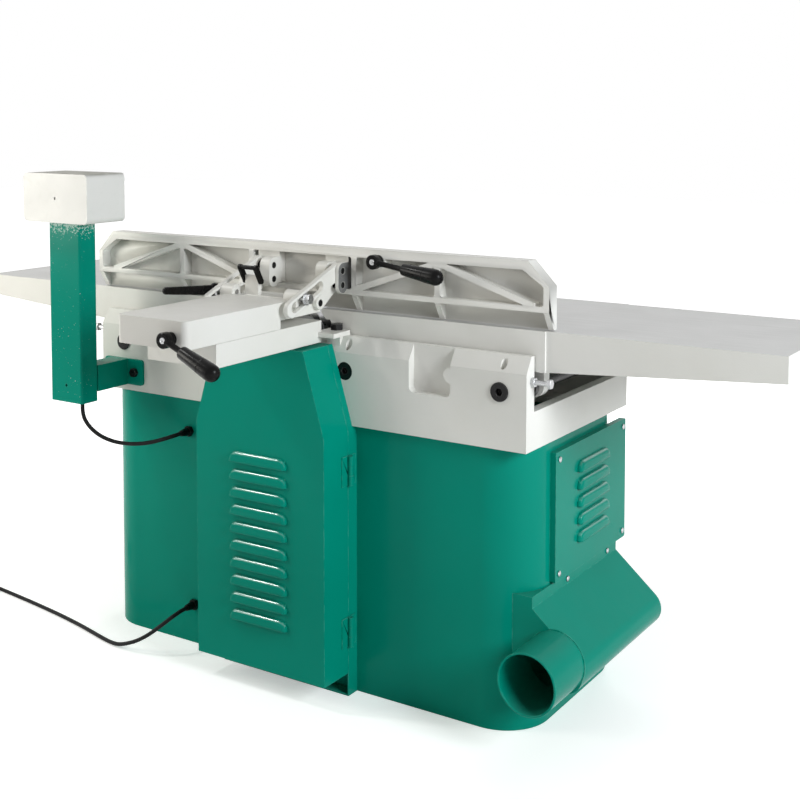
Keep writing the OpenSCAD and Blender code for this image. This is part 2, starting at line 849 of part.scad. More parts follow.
module guard_frame() color(green) difference() {
    along_y(cabinet_y, frame_y) difference() {
        guard_outline(0, 0);
        guard_outline(foot_t - frame_t, frame_t);
    }
    translate([guard_x0 - over, cabinet_y - over, cabinet_h])
        cube([guard_w + 2 * over, base_y - cabinet_y + over, guard_z1 - cabinet_h + over]);
    along_y(cabinet_y - over, frame_y + over)
        translate([guard_shift - belt_slot_w / 2, guard_z1 - 2 * frame_t])
        square([belt_slot_w, 3 * frame_t]);
}

module belt_guard() color(green) {
    difference() {
        along_y(door_y0, guard_y) guard_outline(guard_z0, 0);
        along_y(door_y0 - over, guard_y - sheet) guard_outline(guard_z0, sheet);
        along_y(door_y0 - over, guard_y - 2 * sheet)
            translate([guard_shift - belt_slot_w / 2, guard_z1 - 2 * sheet]) square([belt_slot_w, 3 * sheet]);
        for (k = [0 : louvre_n - 1]) translate([guard_shift, 0, louvre_z + k * louvre_pitch])
            along_y(guard_y - sheet - over, guard_y + over) translate([-louvre_w / 2 + sheet, 0])
                square([louvre_w - 2 * sheet, louvre_h - 2 * sheet]);
    }
    for (k = [0 : louvre_n - 1]) translate([guard_shift, guard_y, louvre_z + k * louvre_pitch]) {
        louvre_hood(louvre_w);
        louvre_cheeks(louvre_w);
    }
}

// Hinges: knuckles and leaves on the frame and on the door, and one pin each

module knuckle(z0, z1) translate([hinge_x, hinge_y, z0]) difference() {
    cylinder(d = knuckle_d, h = z1 - z0);
    translate([0, 0, -over]) cylinder(d = hinge_pin_d + 2 * run_fit, h = z1 - z0 + 2 * over);
}

module hinge_frame_leaves() color(green) for (z = hinge_zs) {
    knuckle(z - hinge_l / 2, z - hinge_l / 6);
    knuckle(z + hinge_l / 6, z + hinge_l / 2);
    difference() {
        translate([guard_x0 - leaf_t, frame_y - leaf_w, z - hinge_l / 2]) cube([leaf_t, leaf_w, hinge_l]);
        translate([hinge_x, hinge_y, z - hinge_l / 6 - knuckle_gap])
            cylinder(d = knuckle_d + 4 * seat_gap, h = hinge_l / 3 + 2 * knuckle_gap);
    }
}

module hinge_pins() color(steel) for (z = hinge_zs) translate([hinge_x, hinge_y, z - hinge_l / 2])
    cylinder(d = hinge_pin_d, h = hinge_l);

module hinge_door_leaves() color(green) for (z = hinge_zs) {
    knuckle(z - hinge_l / 6 + knuckle_gap, z + hinge_l / 6 - knuckle_gap);
    difference() {
        translate([guard_x0 - leaf_t, door_y0, z - hinge_l / 2]) cube([leaf_t, leaf_w, hinge_l]);
        for (z0 = [z - hinge_l / 2 - over, z + hinge_l / 6 - knuckle_gap]) translate([hinge_x, hinge_y, z0])
            cylinder(d = knuckle_d + 4 * seat_gap, h = hinge_l / 3 + knuckle_gap + over);
    }
}

// Louvred panel over the opening in the cabinet's end

module end_panel() color(green) {
    x0 = cabinet_x0 - panel_t;
    difference() {
        translate([0, panel_y, panel_z]) along_x(x0, cabinet_x0) round_rect(panel_w, panel_h, panel_r);
        translate([0, panel_y, panel_z]) along_x(x0 + sheet, cabinet_x0 + over)
            round_rect(panel_w - 2 * sheet, panel_h - 2 * sheet, panel_r - sheet / 2);
        for (k = [0 : panel_louvre_n - 1]) translate([x0 - over, panel_y - panel_louvre_w / 2 + sheet,
            panel_louvre_z + k * panel_louvre_pitch])
            cube([sheet + 2 * over, panel_louvre_w - 2 * sheet, louvre_h - 2 * sheet]);
        panel_holes();
    }
    for (k = [0 : panel_louvre_n - 1]) translate([x0, panel_y, panel_louvre_z + k * panel_louvre_pitch])
        rotate([0, 0, 90]) {
            louvre_hood(panel_louvre_w);
            louvre_cheeks(panel_louvre_w);
        }
}

module at_panel_screws() for (sy = [-1, 1], sz = [-1, 1])
    translate([0, panel_y + sy * (panel_w / 2 - panel_screw_in),
        panel_z + sz * (panel_h / 2 - panel_screw_in)])
        children();
module panel_holes() at_panel_screws()
    rod_x(screw_d / 2 + 2 * run_fit, cabinet_x0 - panel_t - over, cabinet_x0 + over);

// Round-headed screws of the end panel and of the chute's flange
module dome_screw(x) {
    rod_x(screw_d / 2, x - over, cabinet_x0);
    translate([x, 0, 0]) rotate([0, -90, 0]) intersection() {
        cylinder(d = screw_d, h = screw_h);
        translate([0, 0, screw_h - screw_d]) sphere(d = 2 * screw_d);
    }
}
module panel_screws() color(steel) {
    at_panel_screws() dome_screw(cabinet_x0 - panel_t);
    for (s = [-1, 1]) translate([0, panel_y + s * chute_screw_y, chute_screw_z])
        dome_screw(cabinet_x0 - chute_flange);
}

// Dust chute: a folded hood with a round nose, and a pipe out of its end plate

module chute_outline(wall) {
    fold = [cabinet_x0 - chute_flange + wall, chute_fold_z - wall / 2];
    translate(chute_nose) circle(d = hood_nose_d - 2 * wall);
    polygon([
        [cabinet_x0 + wall, chute_fold_z - wall / 2], fold, touch(chute_nose, hood_nose_d / 2 - wall, fold),
        chute_nose, chute_nose + [0, wall - hood_nose_d / 2], [cabinet_x0 + wall, chute_low_z + wall]
    ]);
}

module dust_chute() color(green) difference() {
    union() {
        intersection() {
            along_y(chute_y0, chute_y1) chute_outline(0);
            translate([cabinet_x0 - 2 * pipe_d, chute_y0 - over, 0])
                cube([2 * pipe_d, chute_y1 - chute_y0 + 2 * over, chute_top_z]);
        }
        translate([cabinet_x0 - chute_flange, chute_y0, chute_fold_z - over])
            cube([chute_flange, chute_y1 - chute_y0, chute_top_z - chute_fold_z + over]);
        translate([cabinet_x0 - chute_flange, chute_y0, chute_foot_z])
            cube([chute_flange, chute_y1 - chute_y0, pipe_z - chute_foot_z]);
        translate([cabinet_x0, chute_y1 - cabinet_r / 2, chute_foot_z])
            cube([cabinet_r / 2, cabinet_r / 2, chute_top_z - chute_foot_z]);
        translate([pipe_x, 0, pipe_z]) {
            rod_y(pipe_d + 2 * pipe_rim, chute_y1 - chute_t, chute_y1);
            rod_y(pipe_d, chute_y1 - over, chute_y1 + pipe_l);
        }
    }
    along_y(chute_y0 + chute_t, chute_y1 - chute_t) chute_outline(chute_t);
    translate([pipe_x, 0, pipe_z]) rod_y(pipe_d - 2 * chute_t, chute_y1, chute_y1 + pipe_l + over);
    along_y(chute_y1 - 2 * chute_t, chute_y1 + over) intersection() {
        translate([pipe_x, pipe_z]) circle(d = pipe_d - 2 * chute_t);
        chute_outline(chute_t);
    }
    translate([cabinet_shift, 0, 0]) linear_extrude(cabinet_h)
        round_rect(cabinet_l, 2 * cabinet_y, cabinet_r);
    for (s = [-1, 1]) translate([0, panel_y + s * chute_screw_y, chute_screw_z])
        rod_x(screw_d / 2 + 2 * run_fit, cabinet_x0 - chute_flange - over, cabinet_x0 + over);
}

// Crank shaft across the trough: two journals, two webs and a long pin
module crank_shaft(side, arm, tail) {
    reach = [side * crank_throw * cos(arm), crank_throw * sin(arm)];
    translate([0, 0, shaft_z]) {
        for (s = [-1, 1]) difference() {
            union() {
                rod_y(shaft_d, s > 0 ? web_y : -base_y - tail, s > 0 ? base_y + tail : -web_y);
                along_y(s > 0 ? web_y : -web_y - web_t, s > 0 ? web_y + web_t : -web_y)
                    rotate(atan2(reach[1], reach[0])) pill(crank_throw, journal_web_d);
            }
            along_y(s > 0 ? base_y + tail - socket_deep : -base_y - tail - over,
                s > 0 ? base_y + tail + over : -base_y - tail + socket_deep) hexagon(socket_across);
        }
        translate([reach[0], 0, reach[1]]) rod_y(pin_d, -web_y - over, web_y + over);
    }
}
module infeed_inner_shaft() color(black) translate([shaft_in_x, 0, 0]) crank_shaft(1, infeed_arm, inner_end);
module infeed_outer_shaft() color(black) translate([shaft_out_x, 0, 0]) crank_shaft(1, infeed_arm, outer_end);
module outfeed_inner_shaft() color(black) translate([-shaft_in_x, 0, 0])
    crank_shaft(-1, outfeed_arm, inner_end);
module outfeed_outer_shaft() color(black) translate([-shaft_out_x, 0, 0])
    crank_shaft(-1, outfeed_arm, outer_end);

// One table, drawn towards +X: lip, ribbed plate, side walls and bored lugs
module table_body(length, arm) difference() {
    union() {
        along_y(-table_w / 2, table_w / 2) polygon([
            [lip_x, table_z], [knee_x, table_z], [knee_x, table_z - table_t], [lip_root_x, table_z - table_t],
            [lip_x, table_z - lip_t]
        ]);
        along_y(-table_w / 2 + wing_step, table_w / 2 - wing_step) polygon([
            [knee_x - over, table_z], [length, table_z], [length, table_z - table_t],
            [knee_x - over, table_z - table_t]
        ]);
        for (s = [-1, 1]) {
            y = s * (table_w - apron_t) / 2 - apron_t / 2;
            along_y(y, y + apron_t) polygon([
                [lip_root_x, table_z - over], [knee_x, table_z - over], [knee_x, table_z - apron_h],
                [lip_root_x + apron_h / 2, table_z - apron_h]
            ]);
            along_y(y - s * wing_step, y - s * wing_step + apron_t) polygon([
                [knee_x - over, table_z - over], [length, table_z - over], [length, table_z - apron_end_h],
                [knee_x - over, table_z - apron_h]
            ]);
            along_y(s * (lug_y + lug_t / 2) - lug_t / 2, s * (lug_y + lug_t / 2) + lug_t / 2) lug_web(arm);
            along_y(s * rib_y - rib_t / 2, s * rib_y + rib_t / 2) polygon([
                [knee_x - apron_h, table_z - over], [length - over, table_z - over],
                [length - over, table_z - table_t - rib_h / 3], [knee_x - apron_h, table_z - table_t - rib_h]
            ]);
        }
        translate([length - apron_t, -table_w / 2 + wing_step, table_z - apron_end_h])
            cube([apron_t, table_w - 2 * wing_step, apron_end_h - over]);
        for (share = cross_rib_shares)
            translate([length * share - rib_t / 2, -table_w / 2 + apron_t, table_z - table_t - rib_h / 3])
                cube([rib_t, table_w - 2 * apron_t, rib_h / 3 + over]);
    }
    for (x = [shaft_in_x, shaft_out_x])
        translate([x + crank_throw * cos(arm), 0, shaft_z + crank_throw * sin(arm)])
            rod_y(pin_d + 2 * run_fit, -table_w, table_w);
}

module lug_web(arm) {
    translate([lug_web_x0, table_z - table_t - lug_web_h])
        square([lug_web_x1 - lug_web_x0, lug_web_h + over]);
    for (x = [shaft_in_x, shaft_out_x])
        translate([x + crank_throw * cos(arm), shaft_z + crank_throw * sin(arm)]) {
            circle(d = lug_d);
            translate([-lug_d / 2, 0]) square([lug_d, shaft_drop - table_t - crank_throw * sin(arm)]);
        }
}

module infeed_table() color(cream) table_body(infeed_l, infeed_arm);
module outfeed_table() color(cream) mirror([1, 0, 0]) table_body(outfeed_l, outfeed_arm);

// Handwheel on the front cheek: torus rim, three spokes, hub and shaft
module handwheel(x) translate([x, -base_y - wheel_off, wheel_z]) {
    rotate([90, 0, 0]) rotate_extrude() translate([(wheel_d - wheel_rim_d) / 2, 0]) circle(d = wheel_rim_d);
    rod_y(wheel_hub_d, -wheel_hub_l / 2, wheel_hub_l / 2);
    rod_y(wheel_shaft_d, 0, wheel_off + cheek_t);
    for (k = [0 : spoke_n - 1]) rotate([0, 360 * k / spoke_n, 0])
        cylinder(d = spoke_d, h = (wheel_d - wheel_rim_d) / 2);
    translate([0, 0, (wheel_d - wheel_rim_d) / 2])
        rod_y(knob_bolt_d, -wheel_rim_d / 2 - knob_l * knob_bolt_share, 0);
}
module wheel_knob(x) translate([x, -base_y - wheel_off, wheel_z + (wheel_d - wheel_rim_d) / 2])
    rotate([90, 0, 0]) translate([0, 0, wheel_rim_d / 2 + seat_gap]) rotate_extrude() difference() {
        union() {
            square([knob_d / 2, knob_l * knob_round_share]);
            translate([0, knob_l * knob_round_share]) intersection() {
                circle(d = knob_d);
                square(knob_d);
            }
        }
        square([knob_bolt_d / 2 + run_fit, knob_l * knob_bolt_share + seat_gap]);
    }
module infeed_handwheel() color(black) handwheel(wheel_x);
module outfeed_handwheel() color(black) handwheel(-wheel_x);
module infeed_wheel_knob() color(black) wheel_knob(wheel_x);
module outfeed_wheel_knob() color(black) wheel_knob(-wheel_x);

// Table lock lever: hub on a short shaft, slim arm and a ball
module lock_lever(x) translate([x, -base_y, table_lock_z]) {
    rod_y(table_lock_d, -seat_gap - over, cheek_t);
    rod_y(table_lock_hub_d, -hub_l, -seat_gap);
    translate([0, stem_d / 2 - hub_l + over, 0]) rotate([0, 180, 0]) {
        cylinder(d = stem_d, h = table_lock_l);
        translate([0, 0, table_lock_l]) sphere(d = ball_d);
    }
}
module infeed_lock_lever() color(black) lock_lever(table_lock_x);
module outfeed_lock_lever() color(black) lock_lever(-table_lock_x);

// Fence support: an inverted channel with two ears bolted on the rear cheek

module support_section() difference() {
    translate([-carriage_w / 2, support_z - support_foot + support_t])
        square([carriage_w, support_foot - support_t]);
    translate([-carriage_w / 2 + support_t, support_z - support_foot])
        square([carriage_w - 2 * support_t, support_foot - support_t]);
}

module fence_support() color(cream) difference() {
    union() {
        along_y(support_y0, support_y1) support_section();
        translate([-carriage_w / 2, support_y1 - support_t, support_z - support_foot + support_t])
            cube([carriage_w, support_t, support_foot - support_t]);
        for (s = [-1, 1]) translate([s * pad_x - ear_w / 2, ear_y0, rim_z])
            cube([ear_w, support_y0 - ear_y0 + support_t, ear_t]);
    }
    translate([-keel_w / 2 - slide_gap, support_y0 - over, support_z - keel_h - slide_gap])
        cube([keel_w + 2 * slide_gap, support_l, keel_h + over]);
    for (s = [-1, 1]) translate([s * pad_x, cheek_in + pad_d / 2, rim_z - over])
        cylinder(d = support_bolt_d + 2 * run_fit, h = ear_t + 2 * over);
}

module support_bolts() color(black) for (s = [-1, 1]) translate([s * pad_x, cheek_in + pad_d / 2, 0]) {
    translate([0, 0, rim_z - bevel_z / 2]) cylinder(d = support_bolt_d, h = bevel_z / 2 + ear_t);
    translate([0, 0, rim_z + ear_t]) linear_extrude(support_bolt_h) hexagon(support_bolt_across);
}

// Carriage that slides on the support: round corners, raised nose, clamp ears and a keel

module carriage_outline() polygon([
    [carriage_skirt_y, support_z + slide_gap], [carriage_end_y, support_z + slide_gap],
    [carriage_end_y, carriage_top], [carriage_nose_y + carriage_hollow, carriage_top],
    [carriage_nose_y, carriage_top - carriage_roof], [carriage_nose_y, nose_z], [carriage_skirt_y, nose_z]
]);

module fence_carriage() color(cream) difference() {
    union() {
        along_x(-carriage_w / 2, carriage_w / 2) carriage_outline();
        translate([-keel_w / 2, carriage_skirt_y + keel_back, support_z - keel_h])
            cube([keel_w, end_back - skirt_back - keel_end - keel_back, keel_h + 2 * slide_gap]);
        for (s = [-1, 1]) {
            x0 = s > 0 ? link_x - clamp_ear_t : -high_x0 + link_gap;
            x1 = s > 0 ? high_x0 - link_gap : clamp_ear_t - link_x;
            translate([0, clamp_at[0], clamp_at[1]]) along_x(x0, x1) {
                circle(d = clamp_ear_d);
                translate([-clamp_ear_d / 2, -clamp_ear_d / 2]) square([clamp_ear_d, clamp_ear_d / 2]);
            }
        }
        translate([stop_x - stop_tab_w / 2, stop_y, carriage_top - over])
            cube([stop_tab_w, stop_tab_t, stop_tab_h + over]);
    }
    for (s = [-1, 1]) {
        translate([0, low_pivot[0], low_pivot[1]])
            rod_x(link_pin_d + 2 * run_fit, s > 0 ? 0 : -carriage_w, s > 0 ? carriage_w : 0);
        translate([0, clamp_at[0], clamp_at[1]])
            rod_x(clamp_d + 2 * run_fit, s > 0 ? 0 : -carriage_w, s > 0 ? carriage_w : 0);
    }
    translate([0, stop_y + stop_tab_t / 2, carriage_top + stop_tab_h - stop_axle_drop])
        rod_x(stop_axle_d + 2 * run_fit, stop_x - stop_tab_w, stop_x + stop_tab_w);
    translate([lock_x, 0, lock_z]) rod_y(stem_d + 2 * run_fit, lock_y - hub_l - over, carriage_end_y + over);
    for (s = [-1, 1]) translate([0, carriage_end_y - carriage_r, support_z - keel_h]) difference() {
        translate([s > 0 ? carriage_w / 2 - carriage_r : -carriage_w / 2 - over, 0, 0])
            cube([carriage_r + over, carriage_r + over, carriage_rise + support_drop + 2 * keel_h]);
        translate([s * (carriage_w / 2 - carriage_r), 0, -over])
            cylinder(r = carriage_r, h = carriage_rise + support_drop + 3 * keel_h);
    }
    for (x = [-carriage_w / 2 + support_t, keel_w / 2])
        translate([x, carriage_skirt_y + support_t, support_z])
            cube([carriage_w / 2 - support_t - keel_w / 2, support_l / 2,
                carriage_top - support_z - carriage_roof]);
}

// Clamp bolts that the slotted links slide on, with washers and nuts
module clamp_bolts() color(steel) for (s = [-1, 1]) translate([0, clamp_at[0], clamp_at[1]]) {
    x0 = link_x - clamp_ear_t + over;
    x1 = high_x0 + high_link_t + link_gap;
    mirror([s < 0 ? 1 : 0, 0, 0]) {
        rod_x(clamp_d, x0, x1 + washer_t + (s > 0 ? nut_h + link_gap + flat_lever_t : 0));
        rod_x(washer_d, x1, x1 + washer_t);
        along_x(x1 + washer_t, x1 + washer_t + nut_h) hexagon(nut_across);
    }
}

// Links between the carriage and the fence brackets

function turn_of(a, b) = atan2(b[1] - a[1], b[0] - a[0]);

// Lower links lie inside the bracket's span, beside the carriage's nose
module lower_links() color(cream) for (s = [-1, 1]) mirror([s < 0 ? 1 : 0, 0, 0]) difference() {
    translate([0, low_pivot[0], low_pivot[1]]) along_x(low_x0, low_x0 + low_link_t)
        rotate(turn_of(low_pivot, low_end)) pill(norm(low_end - low_pivot), low_link_d);
    translate([0, low_pivot[0], low_pivot[1]]) rod_x(link_pin_d + 2 * run_fit, 0, 2 * carriage_w);
    translate([0, low_end[0], low_end[1]]) rod_x(link_pin_d + 2 * run_fit, 0, 2 * carriage_w);
}

module upper_links() color(cream) for (s = [-1, 1]) mirror([s < 0 ? 1 : 0, 0, 0]) difference() {
    translate([0, high_end[0], high_end[1]]) along_x(high_x0, high_x0 + high_link_t)
        rotate(turn_of(high_end, clamp_at)) pill(slot_far + high_link_d / 4, high_link_d);
    translate([0, high_end[0], high_end[1]]) rod_x(link_pin_d + 2 * run_fit, 0, 2 * carriage_w);
    translate([0, high_end[0], high_end[1]]) along_x(link_x, 2 * carriage_w)
        rotate(turn_of(high_end, clamp_at)) translate([slot_near, 0])
            pill(slot_far - slot_near, clamp_d + 2 * slot_side);
}

// Pins of the lower links, pressed in the links, running in the carriage and in the brackets
module link_pins() color(steel) for (s = [-1, 1]) mirror([s < 0 ? 1 : 0, 0, 0]) {
    translate([0, low_pivot[0], low_pivot[1]]) rod_x(link_pin_d, link_x - bracket_t, low_x0 + low_link_t);
    translate([0, low_end[0], low_end[1]]) rod_x(link_pin_d, link_x - bracket_t, cheek_x0 + bracket_cheek_t);
}

// Pins of the slotted links, pressed in the brackets
module bracket_pins() color(steel) for (s = [-1, 1]) mirror([s < 0 ? 1 : 0, 0, 0])
    translate([0, high_end[0], high_end[1]])
        rod_x(link_pin_d, link_x - bracket_t, cheek_x0 + bracket_cheek_t);

// Fence: face plate with chamfered ends, rim, ledge, truss ribs and sloped webs behind

module fence_outline(side, top) {
    half = fence_l / 2 - side;
    translate([fence_shift, 0]) polygon([
        [-half, fence_z0], [half, fence_z0], [half, fence_z1 - fence_cut_z],
        [half - fence_cut_x, fence_z1 - top], [-half + fence_cut_x, fence_z1 - top],
        [-half, fence_z1 - fence_cut_z]
    ]);
}

// Straight rib between two points of the fence's rear, as an outline in X and Z
module rib_between(a, b) translate(a) rotate(turn_of(a, b)) translate([0, -fence_rib_t / 2])
    square([norm(b - a), fence_rib_t]);

module fence() color(cream) difference() {
    ledge_z = fence_z0 + ledge_rise;
    half = fence_l / 2;
    back = fence_y0 + fence_t;
    union() {
        along_y(fence_y0, back) fence_outline(0, 0);
        along_y(back - over, fence_y0 + rib_d) intersection() {
            difference() {
                fence_outline(0, 0);
                translate([-fence_l, fence_z0 - over]) square([2 * fence_l, ledge_rise - ledge_t + over]);
            }
            union() {
                difference() {
                    fence_outline(0, 0);
                    fence_outline(fence_end_rim, fence_rim);
                }
                translate([-fence_l, ledge_z - ledge_t]) square([2 * fence_l, ledge_t]);
                for (s = [-1, 1]) {
                    crest = [s * half * rib_share, fence_z1 - fence_rim];
                    rib_between([s * half * rib_share, ledge_z - ledge_t], crest + [0, over]);
                    rib_between(crest, [s * half * diag_out_share, ledge_z]);
                    rib_between(crest, [s * half * diag_in_share, ledge_z]);
                    rib_between([s * half * diag_in_share, ledge_z],
                        [s * half * diag_in_share, fence_z1 - over]);
                }
            }
        }
        translate([fence_lever_x, 0, fence_lever_z]) rod_y(hub_d + 2 * over, back - over, fence_y0 + rib_d);
        for (s = [-1, 1], share = [diag_in_share, rib_share, 1 - fence_rib_t / fence_l])
            along_x(at_end(s, share) - fence_rib_t / 2, at_end(s, share) + fence_rib_t / 2) polygon([
                [back - over, fence_z0], [back + web_toe, fence_z0],
                [fence_y0 + rib_d, ledge_z - ledge_t + over], [back - over, ledge_z - ledge_t + over]
            ]);
    }
    translate([fence_lever_x, 0, fence_lever_z]) rod_y(stem_d + 2 * run_fit, back, fence_y1);
}

// Place of a sloped web: the outermost ones follow the fence's own ends
function at_end(s, share) = s * fence_l / 2 * share + (share > diag_out_share ? fence_shift : 0);

// Cast brackets behind the fence: a block and an outer cheek on one plate, with the link pins through both

module bracket_cheek() {
    translate(low_end) circle(d = bracket_d);
    translate(high_end) circle(d = bracket_d);
    foot_z = fence_z0 + ledge_rise + seat_gap;
    translate([fence_y0 + fence_t + bracket_plate_d - over, foot_z])
        square([low_end[0] - fence_y0 - fence_t - bracket_plate_d + over,
            high_end[1] + bracket_d / 2 - foot_z]);
    translate([low_end[0] - over, low_end[1]]) square([bracket_d / 2 + over, high_end[1] - low_end[1]]);
}

module fence_brackets() color(cream) for (s = [-1, 1]) mirror([s < 0 ? 1 : 0, 0, 0]) difference() {
    union() {
        along_x(link_x - bracket_t, link_x) bracket_cheek();
        along_x(cheek_x0, cheek_x0 + bracket_cheek_t) bracket_cheek();
        along_x(link_x - bracket_t, cheek_x0 + bracket_cheek_t)
            translate([fence_y0 + fence_t + seat_gap, fence_z0 + ledge_rise + seat_gap])
                square([bracket_plate_d - seat_gap, fence_h - ledge_rise - fence_rim - 2 * seat_gap]);
    }
    for (at = [low_end, high_end]) translate([0, at[0], at[1]])
        rod_x(link_pin_d + 2 * run_fit, 0, 2 * carriage_w);
}

// Clamp levers with a round grip: hub about Y, stem and grip turned towards -X
module grip_lever(drop, stem_l) {
    rod_y(hub_d, 0, hub_l);
    translate([0, hub_l * stem_share, 0]) rotate([0, 0, -lever_out]) rotate([0, -90 - drop, 0]) {
        cylinder(d = stem_d, h = stem_l);
        translate([0, 0, stem_l - over]) cylinder(d1 = grip_d * grip_root_share, d2 = grip_d, h = grip_l);
        translate([0, 0, stem_l + grip_l - 2 * over]) sphere(d = grip_d * grip_tip_share);
    }
}

module slide_lock_lever() color(black) translate([lock_x, lock_y, lock_z]) {
    rod_y(stem_d, -hub_l, over);
    grip_lever(lock_drop, lock_stem);
}

module fence_lever() color(black)
    translate([fence_lever_x, fence_y0 + rib_d + seat_gap, fence_lever_z]) {
    grip_lever(fence_lever_drop, fence_stem);
    rod_y(stem_d, fence_t - rib_d, over);
}

// Flat lever on the infeed side's clamp bolt
module tilt_lock_lever() color(black) {
    x0 = high_x0 + high_link_t + 2 * link_gap + washer_t + nut_h;
    translate([0, clamp_at[0], clamp_at[1]])
    along_x(x0, x0 + flat_lever_t) rotate(flat_lever_rise) difference() {
        union() {
            circle(d = hub_d);
            polygon([
                [0, -flat_lever_w / 2], [flat_lever_l, -flat_lever_tip / 2],
                [flat_lever_l, flat_lever_tip / 2],
                [0, flat_lever_w / 2]
            ]);
            translate([flat_lever_l, 0]) circle(d = flat_lever_tip);
        }
        circle(d = clamp_d + 2 * run_fit);
    }
}

// U-shaped stop that flips over its tab on the carriage
stop_axle_at = [stop_x, stop_y + stop_tab_t / 2, carriage_top + stop_tab_h - stop_axle_drop];
module flip_stop() color(black) translate(stop_axle_at) {
    inner = stop_tab_w / 2 + seat_gap;
    for (s = [-1, 1]) along_x(s > 0 ? inner : -inner - stop_arm_t, s > 0 ? inner + stop_arm_t : -inner)
        rotate(stop_lean) pill(stop_arm_l, stop_bar_d + stop_arm_t / 2);
    rod_x(stop_axle_d, -inner - over, inner + over);
    rotate([stop_lean, 0, 0]) translate([0, stop_arm_l, 0]) rod_x(stop_bar_d, -inner - over, inner + over);
}

// Switch pedestal: bracket plate with a tubular arm, column, box and two buttons

function arm_bolt_xs() = [plate_x + bolt_in, plate_x + plate_w - bolt_in / 2];

module switch_arm() color(green) difference() {
    union() {
        translate([plate_x + plate_w / 2, 0, arm_z + arm_h / 2]) along_y(base_y, base_y + plate_t)
            round_rect(plate_w, arm_h, plate_r);
        translate([arm_x, base_y, arm_z]) cube([arm_w, column_y - base_y, arm_h]);
    }
    translate([arm_x + arm_wall, base_y + plate_t, arm_z + arm_wall])
        cube([arm_w - 2 * arm_wall, column_y - base_y, arm_h - 2 * arm_wall]);
    for (x = arm_bolt_xs()) translate([x, 0, arm_z + arm_h / 2])
        rod_y(clamp_d + 2 * run_fit, base_y - over, base_y + plate_t + over);
}

module arm_bolts() color(steel) for (x = arm_bolt_xs()) translate([x, 0, arm_z + arm_h / 2]) {
    rod_y(clamp_d, base_y - cheek_t + over, base_y + plate_t);
    along_y(base_y + plate_t, base_y + plate_t + nut_h) hexagon(nut_across);
}

module switch_column() color(green) difference() {
    translate([column_x, column_y + column_d / 2, column_z0]) linear_extrude(column_z - column_z0)
        round_rect(column_w, column_d, column_r);
    translate([column_x, column_y + column_d / 2, column_z0 + arm_wall]) linear_extrude(column_z - column_z0)
        round_rect(column_w - 2 * arm_wall, column_d - 2 * arm_wall, column_r - arm_wall);
    translate([column_x, 0, column_mark_z])
        rod_y(column_mark_d, column_y + column_d - 2 * arm_wall, column_y + column_d + over);
}

module switch_box() color(cream) difference() {
    box_top = column_z + box_h;
    union() {
        along_y(box_y0, box_y0 + box_d) translate([column_x, column_z + box_h / 2])
            round_rect(box_w, box_h, box_r);
        along_x(column_x - box_w / 2 + box_r, column_x + box_w / 2 - box_r) polygon([
            [box_y0 + over, box_top - visor_h - visor_slope], [box_y0 + over, box_top - over],
            [box_y0 - visor_out, box_top - over], [box_y0 - visor_out, box_top - visor_h]
        ]);
    }
    translate([column_x, 0, column_z + box_h / 2])
        rod_y(box_mark_d, box_y0 + box_d - box_mark_deep, box_y0 + box_d + over);
    for (s = [-1, 1]) translate([column_x + s * button_x, 0, column_z + box_h / 2])
        rod_y(button_d + 2 * button_fit, box_y0 - over, box_y0 + button_l + button_travel);
}

module start_button() color(green) translate([column_x + button_x, 0, column_z + box_h / 2])
    rod_y(button_d, box_y0 - button_out, box_y0 + button_l - button_fit);

module stop_button() color(red) translate([column_x - button_x, 0, column_z + box_h / 2]) {
    rod_y(button_d, box_y0 - button_out, box_y0 + button_l - button_fit);
    rod_y(mushroom_d, box_y0 - button_out - mushroom_t, box_y0 - button_out + over);
}

// Cable glands on the cabinet's rear wall

module gland(at) translate([at[0], 0, at[1]]) {
    along_y(cabinet_y, cabinet_y + gland_nut_h) hexagon(gland_d);
    translate([0, cabinet_y + gland_nut_h - over, 0]) rotate([-90, 0, 0])
        cylinder(d1 = gland_d * gland_root_share, d2 = cord_d * gland_tip_share,
            h = gland_l - gland_nut_h + over);
}
module cable_gland() color(black) gland(cable_gland_at);
module mains_gland() color(black) gland(mains_gland_at);

// Stop bolts in the rear cheek's ends, with their lock nuts
module stop_bolts() color(steel) for (s = [-1, 1]) {
    x = s > 0 ? base_x1 : base_x0;
    translate([0, stop_bolt_y, stop_bolt_z]) {
        rod_x(stop_bolt_d, s > 0 ? x - end_wall_t : x - stop_bolt_l,
            s > 0 ? x + stop_bolt_l : x + end_wall_t);
        along_x(s > 0 ? x : x - stop_nut_h, s > 0 ? x + stop_nut_h : x) hexagon(stop_nut_across);
        head_x = s > 0 ? x + stop_bolt_l - stop_nut_h : x - stop_bolt_l;
        along_x(head_x, head_x + stop_nut_h) hexagon(stop_nut_across);
    }
}

// Cords, the coil of the length that lies off to the side, its tie and the plug

module switch_cable() color(black) tube(smooth(cable_route), cord_d, cord_sides);
module mains_cord() color(black) tube(smooth(mains_route), cord_d, cord_sides);

